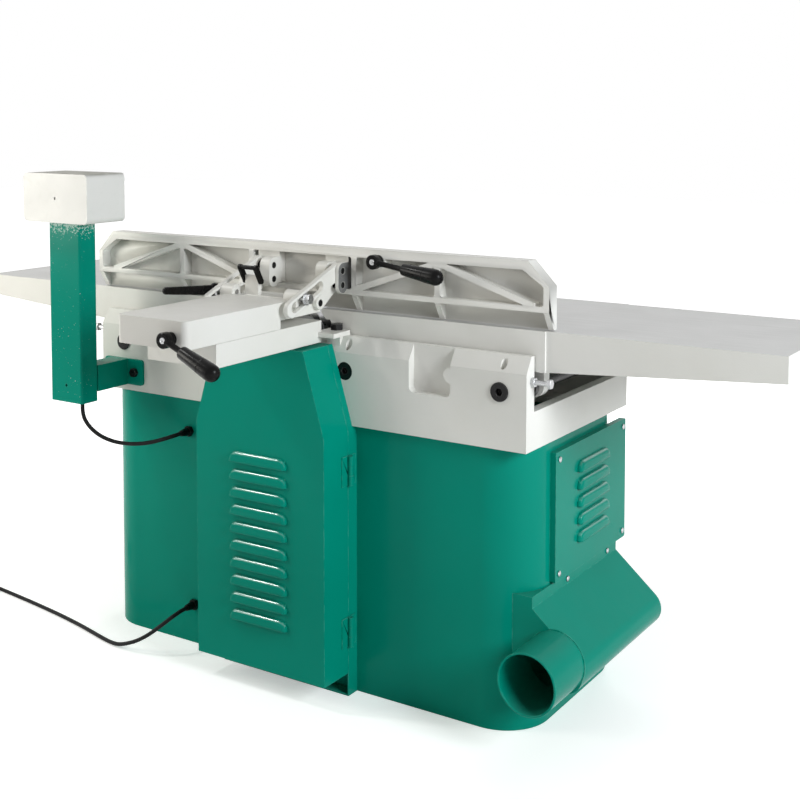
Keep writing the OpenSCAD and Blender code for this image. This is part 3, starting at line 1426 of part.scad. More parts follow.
// Coil: spirals in on the floor layer, climbs in the half turn at its heart and spirals out on top
coil_steps = coil_rings * (2 * coil_turns + 0.5);
coil_route = [for (i = [0 : coil_steps])
    let (turn = i / coil_rings,
         r = turn <= coil_turns ? coil_out_r - coil_pitch * turn
           : turn <= coil_turns + 0.5 ? coil_in_r - coil_dip * sin(360 * (turn - coil_turns))
           : coil_in_r + coil_pitch * (turn - coil_turns - 0.5),
         climb = min(max((turn - coil_turns) / 0.5, 0), 1))
    [coil_centre[0] + r * sin(360 * turn), coil_centre[1] - r * cos(360 * turn),
     coil_z + coil_layer * climb]];
coil_last = coil_route[len(coil_route) - 1];
coil_way = unit([for (k = [0, 1]) coil_last[k] - coil_route[len(coil_route) - 2][k]]);
coil_end = [coil_last[0] + cord_d * coil_way[0], coil_last[1] + cord_d * coil_way[1], coil_last[2]];
coil_lead = [coil_start[0] - cord_d, coil_start[1], coil_z];
coil_points = concat([coil_lead], coil_route, [coil_end]);
coil_gap = min([for (i = [0 : len(coil_points) - 1], k = [i + 4 : len(coil_points) - 1])
    if (k < len(coil_points)) norm(coil_points[i] - coil_points[k])]) - cord_d;
echo(coil_gap = coil_gap);

module mains_coil() color(black) tube(coil_points, cord_d, coil_sides);

// Tie round the turns of the coil
module coil_tie() color(black) translate([coil_centre[0], coil_centre[1], 0])
    along_y(-tie_w / 2, tie_w / 2) difference() {
        r0 = coil_in_r - coil_dip - cord_d / 2 - tie_slack;
        r1 = coil_out_r - coil_pitch / 4 + cord_d / 2 + tie_slack;
        z0 = coil_z - cord_d / 2 - tie_gap;
        z1 = coil_z + coil_layer + cord_d / 2 + tie_gap;
        translate([r0 - tie_t, z0 - tie_t]) square([r1 - r0 + 2 * tie_t, z1 - z0 + 2 * tie_t]);
        translate([r0, z0]) square([r1 - r0, z1 - z0]);
    }

// Plug at the end of the coil, with two round pins
module mains_plug() color(black) translate(coil_end)
    rotate([0, 0, atan2(coil_way[1], coil_way[0])]) rotate([0, 90, 0]) {
        cylinder(d1 = plug_neck_d, d2 = plug_neck_d * plug_neck_share, h = plug_neck_l);
        translate([0, 0, plug_neck_l - over]) cylinder(d = plug_d, h = plug_l);
        for (s = [-1, 1]) translate([0, s * plug_pin_y, plug_neck_l + plug_l - 2 * over])
            cylinder(d = plug_pin_d, h = plug_pin_l + 2 * over);
    }

cabinet();
guard_frame();
base_casting();
end_panel();
panel_screws();
dust_chute();
front_bearing_block();
rear_bearing_block();
motor();
motor_bracket();
drive_belts();
fence_support();
support_bolts();
switch_arm();
arm_bolts();
switch_column();
switch_box();
start_button();
stop_button();
cable_gland();
mains_gland();
stop_bolts();
hinge_frame_leaves();
hinge_pins();
switch_cable();
mains_cord();
mains_coil();
coil_tie();
mains_plug();
infeed_inner_shaft();
infeed_outer_shaft();
infeed_table();
infeed_handwheel();
infeed_wheel_knob();
infeed_lock_lever();
outfeed_inner_shaft();
outfeed_outer_shaft();
outfeed_table();
outfeed_handwheel();
outfeed_wheel_knob();
outfeed_lock_lever();
cutterhead();
cutter_knives();
cutterhead_pulley();
motor_pulley();
fence_carriage();
clamp_bolts();
slide_lock_lever();
tilt_lock_lever();
flip_stop();
lower_links();
upper_links();
fence();
fence_brackets();
link_pins();
bracket_pins();
fence_lever();
belt_guard();
hinge_door_leaves();
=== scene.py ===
import json
import math

import bmesh
import bpy
from mathutils import Matrix, Vector
from mathutils.bvhtree import BVHTree

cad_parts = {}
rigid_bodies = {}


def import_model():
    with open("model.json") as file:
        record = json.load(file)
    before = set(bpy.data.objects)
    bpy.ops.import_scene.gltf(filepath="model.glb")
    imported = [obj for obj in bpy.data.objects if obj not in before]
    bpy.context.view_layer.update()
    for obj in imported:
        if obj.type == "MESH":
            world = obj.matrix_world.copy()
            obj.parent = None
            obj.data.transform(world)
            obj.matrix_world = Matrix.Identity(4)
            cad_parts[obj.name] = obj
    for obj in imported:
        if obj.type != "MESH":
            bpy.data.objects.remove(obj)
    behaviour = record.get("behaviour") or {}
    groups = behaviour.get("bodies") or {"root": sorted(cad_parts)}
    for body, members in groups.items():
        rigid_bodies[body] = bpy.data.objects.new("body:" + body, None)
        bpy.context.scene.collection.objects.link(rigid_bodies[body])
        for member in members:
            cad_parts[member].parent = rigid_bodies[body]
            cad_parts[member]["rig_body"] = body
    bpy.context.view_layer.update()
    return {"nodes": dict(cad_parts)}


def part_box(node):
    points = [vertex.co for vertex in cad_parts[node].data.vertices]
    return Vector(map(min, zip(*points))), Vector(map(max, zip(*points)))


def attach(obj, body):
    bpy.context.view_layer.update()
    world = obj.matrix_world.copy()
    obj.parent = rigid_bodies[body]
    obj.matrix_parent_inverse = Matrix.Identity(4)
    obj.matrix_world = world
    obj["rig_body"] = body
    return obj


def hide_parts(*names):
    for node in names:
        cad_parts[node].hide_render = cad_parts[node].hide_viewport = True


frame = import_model()
scene = bpy.context.scene

# Camera
# It stands behind the outfeed end, a little above the fence, and looks along the rear of the machine.
# The picture's centre lies well above the machine's middle, so the lens is shifted down.
view_line = Vector((0.54527, -0.83597, -0.06193))
camera = bpy.data.objects.new("camera", bpy.data.cameras.new("camera"))
scene.collection.objects.link(camera)
camera.location = (-1.6601, 2.42653, 1.22601)
camera.rotation_euler = view_line.to_track_quat("-Z", "Y").to_euler()
camera.data.sensor_width = 36.0
camera.data.lens = 58.26
camera.data.shift_x = 0.0171
camera.data.shift_y = -0.2642
camera.data.clip_end = 60.0
scene.camera = camera

# Floor and light
# A wide white floor runs up into a white surround, as in a product studio.
# Soft lamps stand to the left, right and top of the rear, and one lights the operator's side.
scene.view_settings.view_transform = "Standard"
floor_half = 14.0
floor_mesh = bmesh.new()
bmesh.ops.create_grid(floor_mesh, x_segments=1, y_segments=1, size=floor_half)
floor = bpy.data.objects.new("floor", bpy.data.meshes.new("floor"))
floor_mesh.to_mesh(floor.data)
floor_mesh.free()
scene.collection.objects.link(floor)


def reckon(tree, operation, *values):
    """Value of one sum on sockets and numbers"""
    node = tree.nodes.new("ShaderNodeMath")
    node.operation = operation
    for socket, value in zip(node.inputs, values):
        if isinstance(value, bpy.types.NodeSocket):
            tree.links.new(value, socket)
        else:
            socket.default_value = value
    return node.outputs[0]


def spread(tree, value, low, high, to_low=0.0, to_high=1.0):
    """Value stretched from one span to another, and held at its ends"""
    node = tree.nodes.new("ShaderNodeMapRange")
    for socket, number in (("From Min", low), ("From Max", high), ("To Min", to_low), ("To Max", to_high)):
        node.inputs[socket].default_value = number
    tree.links.new(value, node.inputs["Value"])
    return node.outputs["Result"]


def seen_rays(tree):
    """Factor that is 1 for camera, glossy and transmission rays"""
    rays = tree.nodes.new("ShaderNodeLightPath")
    seen = reckon(tree, "MAXIMUM", rays.outputs["Is Camera Ray"], rays.outputs["Is Glossy Ray"])
    return reckon(tree, "MAXIMUM", seen, rays.outputs["Is Transmission Ray"])


white = (1.0, 1.0, 1.0, 1.0)
shade_reach, glow_reach = 0.9, 2.4
shade_glow, full_glow = 0.42, 1.0
floor_paint = bpy.data.materials.new("floor paint")
floor_paint.use_nodes = True
floor_tree = floor_paint.node_tree
floor_shader = floor_tree.nodes["Principled BSDF"]
floor_shader.inputs["Base Color"].default_value = (0.86, 0.86, 0.86, 1.0)
floor_shader.inputs["Roughness"].default_value = 0.9
floor_shader.inputs["Specular IOR Level"].default_value = 0.1
floor_shader.inputs["Emission Color"].default_value = white
floor_place = floor_tree.nodes.new("ShaderNodeTexCoord")
floor_reach = floor_tree.nodes.new("ShaderNodeVectorMath")
floor_reach.operation = "LENGTH"
floor_tree.links.new(floor_place.outputs["Object"], floor_reach.inputs[0])
floor_glow = spread(floor_tree, floor_reach.outputs["Value"], shade_reach, glow_reach, shade_glow, full_glow)
floor_tree.links.new(reckon(floor_tree, "MULTIPLY", seen_rays(floor_tree), floor_glow),
                     floor_shader.inputs["Emission Strength"])
floor.data.materials.append(floor_paint)

surround = bpy.data.worlds.new("surround")
surround.use_nodes = True
scene.world = surround
sky = surround.node_tree
sky_light = sky.nodes["Background"]
sky_light.inputs["Color"].default_value = (1.0, 0.99, 0.95, 1.0)
sky_light.inputs["Strength"].default_value = 0.21
sky_white = sky.nodes.new("ShaderNodeBackground")
sky_white.inputs["Color"].default_value = white
sky_white.inputs["Strength"].default_value = 1.0
sky_mix = sky.nodes.new("ShaderNodeMixShader")
sky.links.new(seen_rays(sky), sky_mix.inputs["Fac"])
sky.links.new(sky_light.outputs[0], sky_mix.inputs[1])
sky.links.new(sky_white.outputs[0], sky_mix.inputs[2])
sky.links.new(sky_mix.outputs[0], sky.nodes["World Output"].inputs["Surface"])


def soft_lamp(name, place, target, size, power, colour):
    """Square area lamp that faces a point"""
    lamp = bpy.data.objects.new(name, bpy.data.lights.new(name, "AREA"))
    lamp.data.shape = "SQUARE"
    lamp.data.size = size
    lamp.data.energy = power
    lamp.data.color = colour
    lamp.location = place
    lamp.rotation_euler = (Vector(target) - Vector(place)).to_track_quat("-Z", "Y").to_euler()
    lamp.visible_camera = False
    scene.collection.objects.link(lamp)
    return lamp


soft_lamp("left lamp", place=(1.75, 1.5, 1.15), target=(0.5, 0.35, 0.75), size=0.8, power=19.5,
          colour=(1.0, 0.97, 0.89))
soft_lamp("right lamp", place=(-3.2, 0.9, 1.8), target=(-0.4, 0.0, 0.5), size=1.0, power=76.0,
          colour=(0.96, 1.0, 1.03))
soft_lamp("top lamp", place=(1.65, 1.0, 2.6), target=(0.0, 0.3, 0.6), size=0.22, power=15.0,
          colour=(1.0, 0.99, 0.96))
front_lamp = soft_lamp("front lamp", place=(0.6, -3.0, 1.6), target=(0.0, 0.0, 0.5), size=1.4, power=40.0,
                       colour=(1.0, 1.0, 1.0))
front_lamp.visible_glossy = False

# Mains lead
# Round black rubber-sheathed lead: out of its gland, down to the floor, and off to the side.
# The length that isn't needed lies in a flat two-layer coil with a tie, and ends in a round plug.
lead_d = 0.009
lead_route = [
    (295, 262.5, 91), (296, 284, 89), (302, 306, 81), (316, 325, 66), (338, 339, 47), (365, 347, 30),
    (395, 350, 17), (425, 349, 8), (456, 344, 5), (490, 337, 5), (530, 327, 5), (575, 316, 5),
    (622, 306, 5), (669, 297, 5), (730, 287, 5), (790, 278, 5), (850, 270, 5), (905, 263, 5),
    (945, 259, 5.5), (976, 258, 6.2),
]


def eased_route(stations, steps):
    """Smooth line through stations given in millimetres, in metres"""
    p = [Vector(s) / 1000.0 for s in stations]
    line = []
    for i in range(len(p) - 1):
        a, b, c, d = p[max(i - 1, 0)], p[i], p[i + 1], p[min(i + 2, len(p) - 1)]
        for k in range(steps):
            t = k / steps
            line.append(0.5 * (2 * b + (c - a) * t + (2 * a - 5 * b + 4 * c - d) * t * t
                               + (3 * b - a - 3 * c + d) * t ** 3))
    return line + [p[-1]]


def lead_curve(name, line, diameter):
    """Round cord along a line"""
    curve = bpy.data.curves.new(name, "CURVE")
    curve.dimensions = "3D"
    curve.bevel_depth = 1.0
    curve.bevel_resolution = 4
    curve.use_fill_caps = True
    spline = curve.splines.new("POLY")
    spline.points.add(len(line) - 1)
    for point, place in zip(spline.points, line):
        point.co = (*place, 1.0)
        point.radius = diameter / 2
    spline.use_smooth = True
    cord = bpy.data.objects.new(name, curve)
    scene.collection.objects.link(cord)
    return cord


coil_start = Vector((0.985, 0.258, 0.0062))
coil_turns = 2
climb_turns = 0.5
coil_steps = 48
coil_pitch = 0.0102
coil_in_r = 0.040
coil_out_r = coil_in_r + coil_turns * coil_pitch
coil_layer = 0.0104
coil_dip = 0.002
coil_line = []
for i in range(int(coil_steps * (2 * coil_turns + climb_turns)) + 1):
    turn = i / coil_steps
    climb = min(max((turn - coil_turns) / climb_turns, 0.0), 1.0)
    if turn <= coil_turns:
        r = coil_out_r - coil_pitch * turn
    elif turn <= coil_turns + climb_turns:
        r = coil_in_r - coil_dip * math.sin(math.pi * climb)
    else:
        r = coil_in_r + coil_pitch * (turn - coil_turns - climb_turns)
    around = 2 * math.pi * turn
    coil_line.append(coil_start + Vector((r * math.sin(around), coil_out_r - r * math.cos(around),
                                          coil_layer * climb)))
coil_line.append(coil_line[-1] + lead_d * (coil_line[-1] - coil_line[-2]).normalized())
lead_line = eased_route(lead_route, steps=3) + coil_line
mains_lead = lead_curve("mains_lead", lead_line, lead_d)
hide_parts("mains_cord", "mains_coil")
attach(mains_lead, "frame")


def add_sockets(group, side, vectors=(), colours=(), values=()):
    """Named sockets on one side of a surface group"""
    for kind, names in (("Vector", vectors), ("Color", colours), ("Float", values)):
        for name in names:
            group.interface.new_socket(name, in_out=side, socket_type="NodeSocket" + kind)


def noise(tree, place, scale, detail=2.0):
    """Soft noise from 0 to 1 at a place"""
    node = tree.nodes.new("ShaderNodeTexNoise")
    node.inputs["Scale"].default_value = scale
    node.inputs["Detail"].default_value = detail
    tree.links.new(place, node.inputs["Vector"])
    return node.outputs["Fac"]


def tint(tree, factor, a, b):
    """Mix of two colours"""
    at_factor, at_a, at_b, at_result = 0, 6, 7, 2
    node = tree.nodes.new("ShaderNodeMix")
    node.data_type = "RGBA"
    for value, at in ((factor, at_factor), (a, at_a), (b, at_b)):
        if isinstance(value, bpy.types.NodeSocket):
            tree.links.new(value, node.inputs[at])
        else:
            node.inputs[at].default_value = value
    return node.outputs[at_result]


def bumped(tree, height, strength, distance, normal=None):
    """Normal of a surface that a height raises, on top of another normal if there is one"""
    node = tree.nodes.new("ShaderNodeBump")
    node.inputs["Distance"].default_value = distance
    tree.links.new(height, node.inputs["Height"])
    if isinstance(strength, bpy.types.NodeSocket):
        tree.links.new(strength, node.inputs["Strength"])
    else:
        node.inputs["Strength"].default_value = strength
    if normal:
        tree.links.new(normal, node.inputs["Normal"])
    return node.outputs["Normal"]


def srgb(r, g, b):
    """Colour written as 0 to 255 screen values"""
    return (*[((v / 255 + 0.055) / 1.055) ** 2.4 if v > 10 else v / 255 / 12.92 for v in (r, g, b)], 1.0)


# Ageing: finish rubbed through along edges, and a grey film on faces that look up: a little dust on most
# parts, and painted shade on the switch box's top.
dust_and_shade_colour, film_dulls = srgb(146, 145, 136), 0.35
ageing = bpy.data.node_groups.new("ageing", "ShaderNodeTree")
add_sockets(ageing, "INPUT", vectors=["Place"], colours=["Colour", "Wear colour"],
            values=["Roughness", "Wear", "Dust"])
add_sockets(ageing, "OUTPUT", colours=["Colour"], values=["Roughness"])
ins, outs = ageing.nodes.new("NodeGroupInput"), ageing.nodes.new("NodeGroupOutput")
rounded = ageing.nodes.new("ShaderNodeBevel")
rounded.samples = 4
rounded.inputs["Radius"].default_value = 0.0025
facing = ageing.nodes.new("ShaderNodeNewGeometry")
turned_off = ageing.nodes.new("ShaderNodeVectorMath")
turned_off.operation = "DOT_PRODUCT"
ageing.links.new(rounded.outputs["Normal"], turned_off.inputs[0])
ageing.links.new(facing.outputs["Normal"], turned_off.inputs[1])
edge = spread(ageing, turned_off.outputs["Value"], 0.9, 0.99, 1.0, 0.0)
patches = spread(ageing, noise(ageing, ins.outputs["Place"], scale=55.0, detail=5.0), 0.42, 0.62)
rubbed = reckon(ageing, "MULTIPLY", reckon(ageing, "MULTIPLY", edge, patches), ins.outputs["Wear"])
# The film on faces that look up is partly dust and partly painted shade on tops.
looks_up = ageing.nodes.new("ShaderNodeSeparateXYZ")
ageing.links.new(facing.outputs["Normal"], looks_up.inputs[0])
film_patchiness = spread(ageing, noise(ageing, ins.outputs["Place"], scale=22.0, detail=6.0), 0.25, 0.75, 0.55, 1.0)
dust_and_shade_film = reckon(ageing, "MULTIPLY", spread(ageing, looks_up.outputs["Z"], 0.55, 0.95), film_patchiness)
dust_and_shade_film = reckon(ageing, "MULTIPLY", dust_and_shade_film, ins.outputs["Dust"])
aged_colour = tint(ageing, rubbed, ins.outputs["Colour"], ins.outputs["Wear colour"])
ageing.links.new(tint(ageing, dust_and_shade_film, aged_colour, dust_and_shade_colour), outs.inputs["Colour"])
dulled = reckon(ageing, "MULTIPLY", dust_and_shade_film, film_dulls)
ageing.links.new(reckon(ageing, "ADD", ins.outputs["Roughness"], dulled), outs.inputs["Roughness"])


def skin_group(name, other_colour, texture):
    """Empty surface group with two colours, a gloss, one texture's strength and the ageing values"""
    group = bpy.data.node_groups.new(name, "ShaderNodeTree")
    add_sockets(group, "INPUT", vectors=["Place"], colours=["Body colour", other_colour, "Wear colour"],
                values=["Gloss", texture, "Wear", "Dust"])
    add_sockets(group, "OUTPUT", vectors=["Normal"], colours=["Colour"], values=["Roughness"])
    return group, group.nodes.new("NodeGroupInput"), group.nodes.new("NodeGroupOutput")


def aged_skin(group, ins, outs, mix, other_colour, blotch, low, high, detail=4.0):
    """Colour and roughness of a surface group: its colours mixed, its gloss blotched, and both aged"""
    gloss = spread(group, noise(group, ins.outputs["Place"], blotch, detail), 0.3, 0.7, low, high)
    node = group.nodes.new("ShaderNodeGroup")
    node.node_tree = ageing
    for socket in ("Place", "Wear colour", "Wear", "Dust"):
        group.links.new(ins.outputs[socket], node.inputs[socket])
    group.links.new(tint(group, mix, ins.outputs["Body colour"], ins.outputs[other_colour]),
                    node.inputs["Colour"])
    group.links.new(reckon(group, "ADD", gloss, ins.outputs["Gloss"]), node.inputs["Roughness"])
    for socket in ("Colour", "Roughness"):
        group.links.new(node.outputs[socket], outs.inputs[socket])


def made_of(name, skin, metal=0.0, specular=0.5, **values):
    """Material with one shader, fed by a surface group on Object coordinates"""
    material = bpy.data.materials.new(name)
    material.use_nodes = True
    tree = material.node_tree
    shader = tree.nodes["Principled BSDF"]
    shader.inputs["Metallic"].default_value = metal
    shader.inputs["Specular IOR Level"].default_value = specular
    place = tree.nodes.new("ShaderNodeTexCoord")
    surface = tree.nodes.new("ShaderNodeGroup")
    surface.node_tree = skin
    tree.links.new(place.outputs["Object"], surface.inputs["Place"])
    for socket, value in values.items():
        surface.inputs[socket].default_value = value
    tree.links.new(surface.outputs["Colour"], shader.inputs["Base Color"])
    tree.links.new(surface.outputs["Roughness"], shader.inputs["Roughness"])
    tree.links.new(surface.outputs["Normal"], shader.inputs["Normal"])
    return material


# Moulded surface for rubber and plastic: fine grain, faint scuffs and a little colour change.
moulded, ins, outs = skin_group("moulded surface", "Scuff colour", "Grain")
scuff = spread(moulded, noise(moulded, ins.outputs["Place"], scale=60.0, detail=6.0), 0.55, 0.8, 0.0, 0.5)
aged_skin(moulded, ins, outs, scuff, "Scuff colour", blotch=25.0, low=-0.06, high=0.06, detail=2.0)
grain = noise(moulded, ins.outputs["Place"], scale=1800.0)
moulded.links.new(bumped(moulded, grain, ins.outputs["Grain"], 0.0006), outs.inputs["Normal"])
rubber = made_of("lead rubber", moulded, specular=0.12, **{
    "Body colour": srgb(26, 26, 27), "Scuff colour": srgb(58, 58, 57), "Gloss": 0.45, "Grain": 0.25})
black_plastic = made_of("black plastic", moulded, specular=0.1, **{
    "Body colour": srgb(13, 13, 13), "Scuff colour": srgb(36, 35, 34), "Gloss": 0.26, "Grain": 0.1,
    "Wear colour": srgb(78, 77, 74), "Wear": 0.4})
mains_lead.data.materials.append(rubber)


def new_piece(name, shape, material, slot, body, *nodes):
    """Object from a finished shape, in place of the named nodes if there are any"""
    crease = math.radians(40)
    for face in shape.faces:
        face.smooth = True
    piece = bpy.data.objects.new(name, bpy.data.meshes.new(name))
    shape.to_mesh(piece.data)
    shape.free()
    piece.data.set_sharp_from_angle(angle=crease)
    piece.data.materials.append(material)
    scene.collection.objects.link(piece)
    if nodes:
        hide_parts(*nodes)
    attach(piece, body)
    return piece


def fill_corners(solid, radius):
    """Rounds the hollow edges that run along Y, one by one"""
    shortest, shallowest, straight, apart = 0.012, math.radians(44), 0.99, 0.0005
    done = []
    while True:
        hollow = [e for e in solid.edges if len(e.link_faces) == 2 and not e.is_convex
                  and e.calc_length() > shortest and e.calc_face_angle() > shallowest
                  and abs(e.verts[0].co.y - e.verts[1].co.y) > straight * e.calc_length()
                  and all(((e.verts[0].co + e.verts[1].co) / 2 - at).length >= apart for at in done)]
        if not hollow:
            return
        done.append((hollow[0].verts[0].co + hollow[0].verts[1].co) / 2)
        bmesh.ops.bevel(solid, geom=hollow[:1], affect="EDGES", offset=radius, segments=4, profile=0.5,
                        material=-1, clamp_overlap=True)


def eased_copy(node, name, material, slot, ease, segments=2, fillet=0.0):
    """Copy of a CAD solid with its triangles joined into flat faces and its hard edges rounded"""
    weld, flat, sharp = 2e-6, math.radians(0.6), math.radians(32)
    stray, clear, shortest, tries = 2.5 * ease + 1e-6, 5 * ease, 0.4 * ease, 8
    source = frame["nodes"][node]
    solid = bmesh.new()
    solid.from_mesh(source.data)
    bmesh.ops.remove_doubles(solid, verts=solid.verts, dist=weld)
    bmesh.ops.dissolve_limit(solid, angle_limit=flat, verts=solid.verts, edges=solid.edges)
    if fillet:
        fill_corners(solid, fillet)
    surface = BVHTree.FromBMesh(solid)
    left_sharp = set()
    for trial in range(tries):
        shape = solid.copy()
        hard = [e for e in shape.edges if e.index not in left_sharp and len(e.link_faces) == 2
                and e.calc_face_angle() > sharp and e.calc_length() > shortest]
        if trial == tries - 1:
            hard = []
        ends = [(e.index, e.verts[0].co.copy(), e.verts[1].co.copy()) for e in hard]
        if hard:
            bmesh.ops.bevel(shape, geom=hard, affect="EDGES", offset=ease, segments=segments, profile=0.5,
                            material=-1, clamp_overlap=True)
        astray = {v for v in shape.verts if surface.find_nearest(v.co, stray)[0] is None}
        if not astray:
            break
        near = [o.co for v in astray for e in v.link_edges for o in e.verts if o not in astray]
        for index, a, b in ends:
            if any((a - co).length < clear or (b - co).length < clear for co in near):
                left_sharp.add(index)
        shape.free()
    solid.free()
    piece = new_piece(name, shape, material, slot, source["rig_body"], node)
    even = piece.modifiers.new("even shading", "WEIGHTED_NORMAL")
    even.keep_sharp = True
    even.weight = 100
    return piece


plug = eased_copy("mains_plug", "plug_body", black_plastic, "black_plastic", ease=0.0008)
tie = eased_copy("coil_tie", "lead_tie", black_plastic, "black_plastic", ease=0.0003)
eased_copy("mains_gland", "lead_gland", black_plastic, "black_plastic", ease=0.0006)

# Switch cable
# The same sheathed lead, from the foot of the switch column down in a slack curve to its gland.
cable_route = [
    (505, 370, 562), (505, 370, 540), (500.025, 368, 520), (486.095, 362, 500), (464.006, 354, 484),
    (435.947, 344, 474), (406.097, 333, 470.5), (376.048, 322, 472), (349.979, 312, 477), (327.094, 301, 484),
    (314.557, 291, 488.5), (307.99, 279.5, 491), (306, 270, 492), (306, 262.4, 492),
]
cable_line = eased_route(cable_route, steps=4)
switch_cable = lead_curve("switch_lead", cable_line, lead_d)
switch_cable.data.materials.append(rubber)
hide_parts("switch_cable")
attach(switch_cable, "frame")
eased_copy("cable_gland", "switch_gland", black_plastic, "black_plastic", ease=0.0006)

# Cabinet
# Folded and welded sheet steel with rounded corners, sprayed in smooth green enamel.
# The enamel has a light orange peel and a slow change of tone over each panel.
enamel, ins, outs = skin_group("sprayed enamel", "Deep colour", "Peel")
tone = spread(enamel, noise(enamel, ins.outputs["Place"], scale=2.2, detail=3.0), 0.3, 0.7)
aged_skin(enamel, ins, outs, tone, "Deep colour", blotch=14.0, low=-0.05, high=0.07)
droplets = noise(enamel, ins.outputs["Place"], scale=320.0, detail=1.0)
waves = noise(enamel, ins.outputs["Place"], scale=5.0, detail=1.0)
peel = bumped(enamel, droplets, ins.outputs["Peel"], 0.001)
enamel.links.new(bumped(enamel, waves, 0.06, 0.02, peel), outs.inputs["Normal"])
green_coat = {"Body colour": srgb(2, 141, 122), "Deep colour": srgb(1, 131, 112), "Gloss": 0.2,
              "Wear colour": srgb(96, 182, 164)}
green = made_of("green enamel", enamel, specular=0.05, **green_coat, Peel=0.08, Wear=0.55, Dust=0.06)
eased_copy("cabinet", "cabinet_shell", green, "green_paint", ease=0.0012)
eased_copy("guard_frame", "guard_frame_sheet", green, "green_paint", ease=0.0008)

# Motor, bracket, pulleys and belts
# They stand inside the cabinet and behind the guard, in plain grey castings and ribbed rubber.
cast, ins, outs = skin_group("cast surface", "Deep colour", "Sand")
tone = spread(cast, noise(cast, ins.outputs["Place"], scale=4.0, detail=4.0), 0.35, 0.7)
aged_skin(cast, ins, outs, tone, "Deep colour", blotch=30.0, low=-0.06, high=0.08)
sand = bumped(cast, noise(cast, ins.outputs["Place"], scale=420.0), ins.outputs["Sand"], 0.001)
lumps = noise(cast, ins.outputs["Place"], scale=38.0)
cast.links.new(bumped(cast, lumps, ins.outputs["Sand"], 0.004, sand), outs.inputs["Normal"])
grey_iron = made_of("grey casting", cast, **{
    "Body colour": srgb(120, 122, 121), "Deep colour": srgb(98, 100, 99), "Gloss": 0.5, "Sand": 0.3,
    "Wear colour": srgb(150, 150, 148), "Wear": 0.5, "Dust": 0.2})
for node in ("motor", "motor_bracket", "cutterhead_pulley", "motor_pulley"):
    eased_copy(node, node + "_casting", grey_iron, "grey_casting", ease=0.0008)
eased_copy("drive_belts", "belts", rubber, "black_rubber", ease=0.0004)

# Trough casting
# One long iron casting with beveled cheeks, fettled and sprayed in a pale cream enamel.
cream = made_of("cream enamel", cast, specular=0.3, **{
    "Body colour": srgb(231, 230, 226), "Deep colour": srgb(224, 223, 217), "Gloss": 0.34, "Sand": 0.12,
    "Wear colour": srgb(196, 194, 186), "Wear": 0.45, "Dust": 0.1})
eased_copy("base_casting", "trough", cream, "cream_paint", ease=0.003)
eased_copy("front_bearing_block", "front_bearing", grey_iron, "grey_casting", ease=0.0012)
eased_copy("rear_bearing_block", "rear_bearing", grey_iron, "grey_casting", ease=0.0012)

# Crank shafts, bolts, screws and cutterhead
# Turned steel: the shafts and the switch arm's bolts are blackened, and the rest is bright.
turned, ins, outs = skin_group("turned steel", "Deep colour", "Marks")
marks = noise(turned, ins.outputs["Place"], scale=900.0, detail=3.0)
tone = spread(turned, marks, 0.35, 0.65)
aged_skin(turned, ins, outs, tone, "Deep colour", blotch=90.0, low=-0.06, high=0.1, detail=3.0)
turned.links.new(bumped(turned, marks, ins.outputs["Marks"], 0.0003), outs.inputs["Normal"])
bright = made_of("bright steel", turned, metal=1.0, **{
    "Body colour": srgb(196, 197, 198), "Deep colour": srgb(172, 173, 175), "Gloss": 0.28, "Marks": 0.2,
    "Wear colour": srgb(224, 224, 224), "Wear": 0.3})
blackened = made_of("blackened steel", turned, metal=0.1, specular=0.25, **{
    "Body colour": srgb(24, 24, 25), "Deep colour": srgb(15, 15, 16), "Gloss": 0.3, "Marks": 0.3,
    "Wear colour": srgb(120, 119, 117), "Wear": 0.5})
for node in ("infeed_inner_shaft", "infeed_outer_shaft", "outfeed_inner_shaft", "outfeed_outer_shaft"):
    eased_copy(node, node + "_bar", blackened, "black_steel", ease=0.0008)
for node in ("stop_bolts", "panel_screws"):
    eased_copy(node, node + "_set", bright, "bright_steel", ease=0.0006)
eased_copy("arm_bolts", "arm_bolts_set", blackened, "black_steel", ease=0.0006)
for node in ("cutterhead", "cutter_knives"):
    eased_copy(node, node + "_steel", bright, "bright_steel", ease=0.0004)

# Tables
# Two long iron castings: ground on top to a fine grey grain, and painted cream on their sides and below.
ground, ins, outs = skin_group("ground iron", "Deep colour", "Lines")
along = ground.nodes.new("ShaderNodeMapping")
along.inputs["Scale"].default_value = (6.0, 700.0, 700.0)
ground.links.new(ins.outputs["Place"], along.inputs["Vector"])
lines = noise(ground, along.outputs["Vector"], scale=1.0, detail=3.0)
tone = spread(ground, lines, 0.3, 0.7)
aged_skin(ground, ins, outs, tone, "Deep colour", blotch=9.0, low=-0.05, high=0.09)
ground.links.new(bumped(ground, lines, ins.outputs["Lines"], 0.0002), outs.inputs["Normal"])
ground_top = made_of("ground table top", ground, metal=0.35, **{
    "Body colour": srgb(206, 206, 205), "Deep colour": srgb(190, 190, 189), "Gloss": 0.42, "Lines": 0.25,
    "Wear colour": srgb(226, 226, 225), "Wear": 0.5})
square_on, ground_depth = 0.95, 0.0005


def dress_faces(piece, material, wanted):
    """Second material on the faces that a test picks"""
    piece.data.materials.append(material)
    for face in piece.data.polygons:
        if wanted(face):
            face.material_index = 1


for node in ("infeed_table", "outfeed_table"):
    table = eased_copy(node, node + "_casting", cream, "cream_casting", ease=0.0025)
    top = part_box(node)[1].z
    dress_faces(table, ground_top,
                lambda face: face.normal.z > square_on and face.center.z > top - ground_depth)

# Handwheels and table locks
# Black moulded wheels with a turning knob, and slim ball levers, on the front cheek.
for side in ("infeed", "outfeed"):
    eased_copy(side + "_handwheel", side + "_wheel_rim", black_plastic, "black_plastic", ease=0.0008)
    eased_copy(side + "_wheel_knob", side + "_knob_body", black_plastic, "black_plastic", ease=0.0006)
    eased_copy(side + "_lock_lever", side + "_lock_arm", black_plastic, "black_plastic", ease=0.0008)

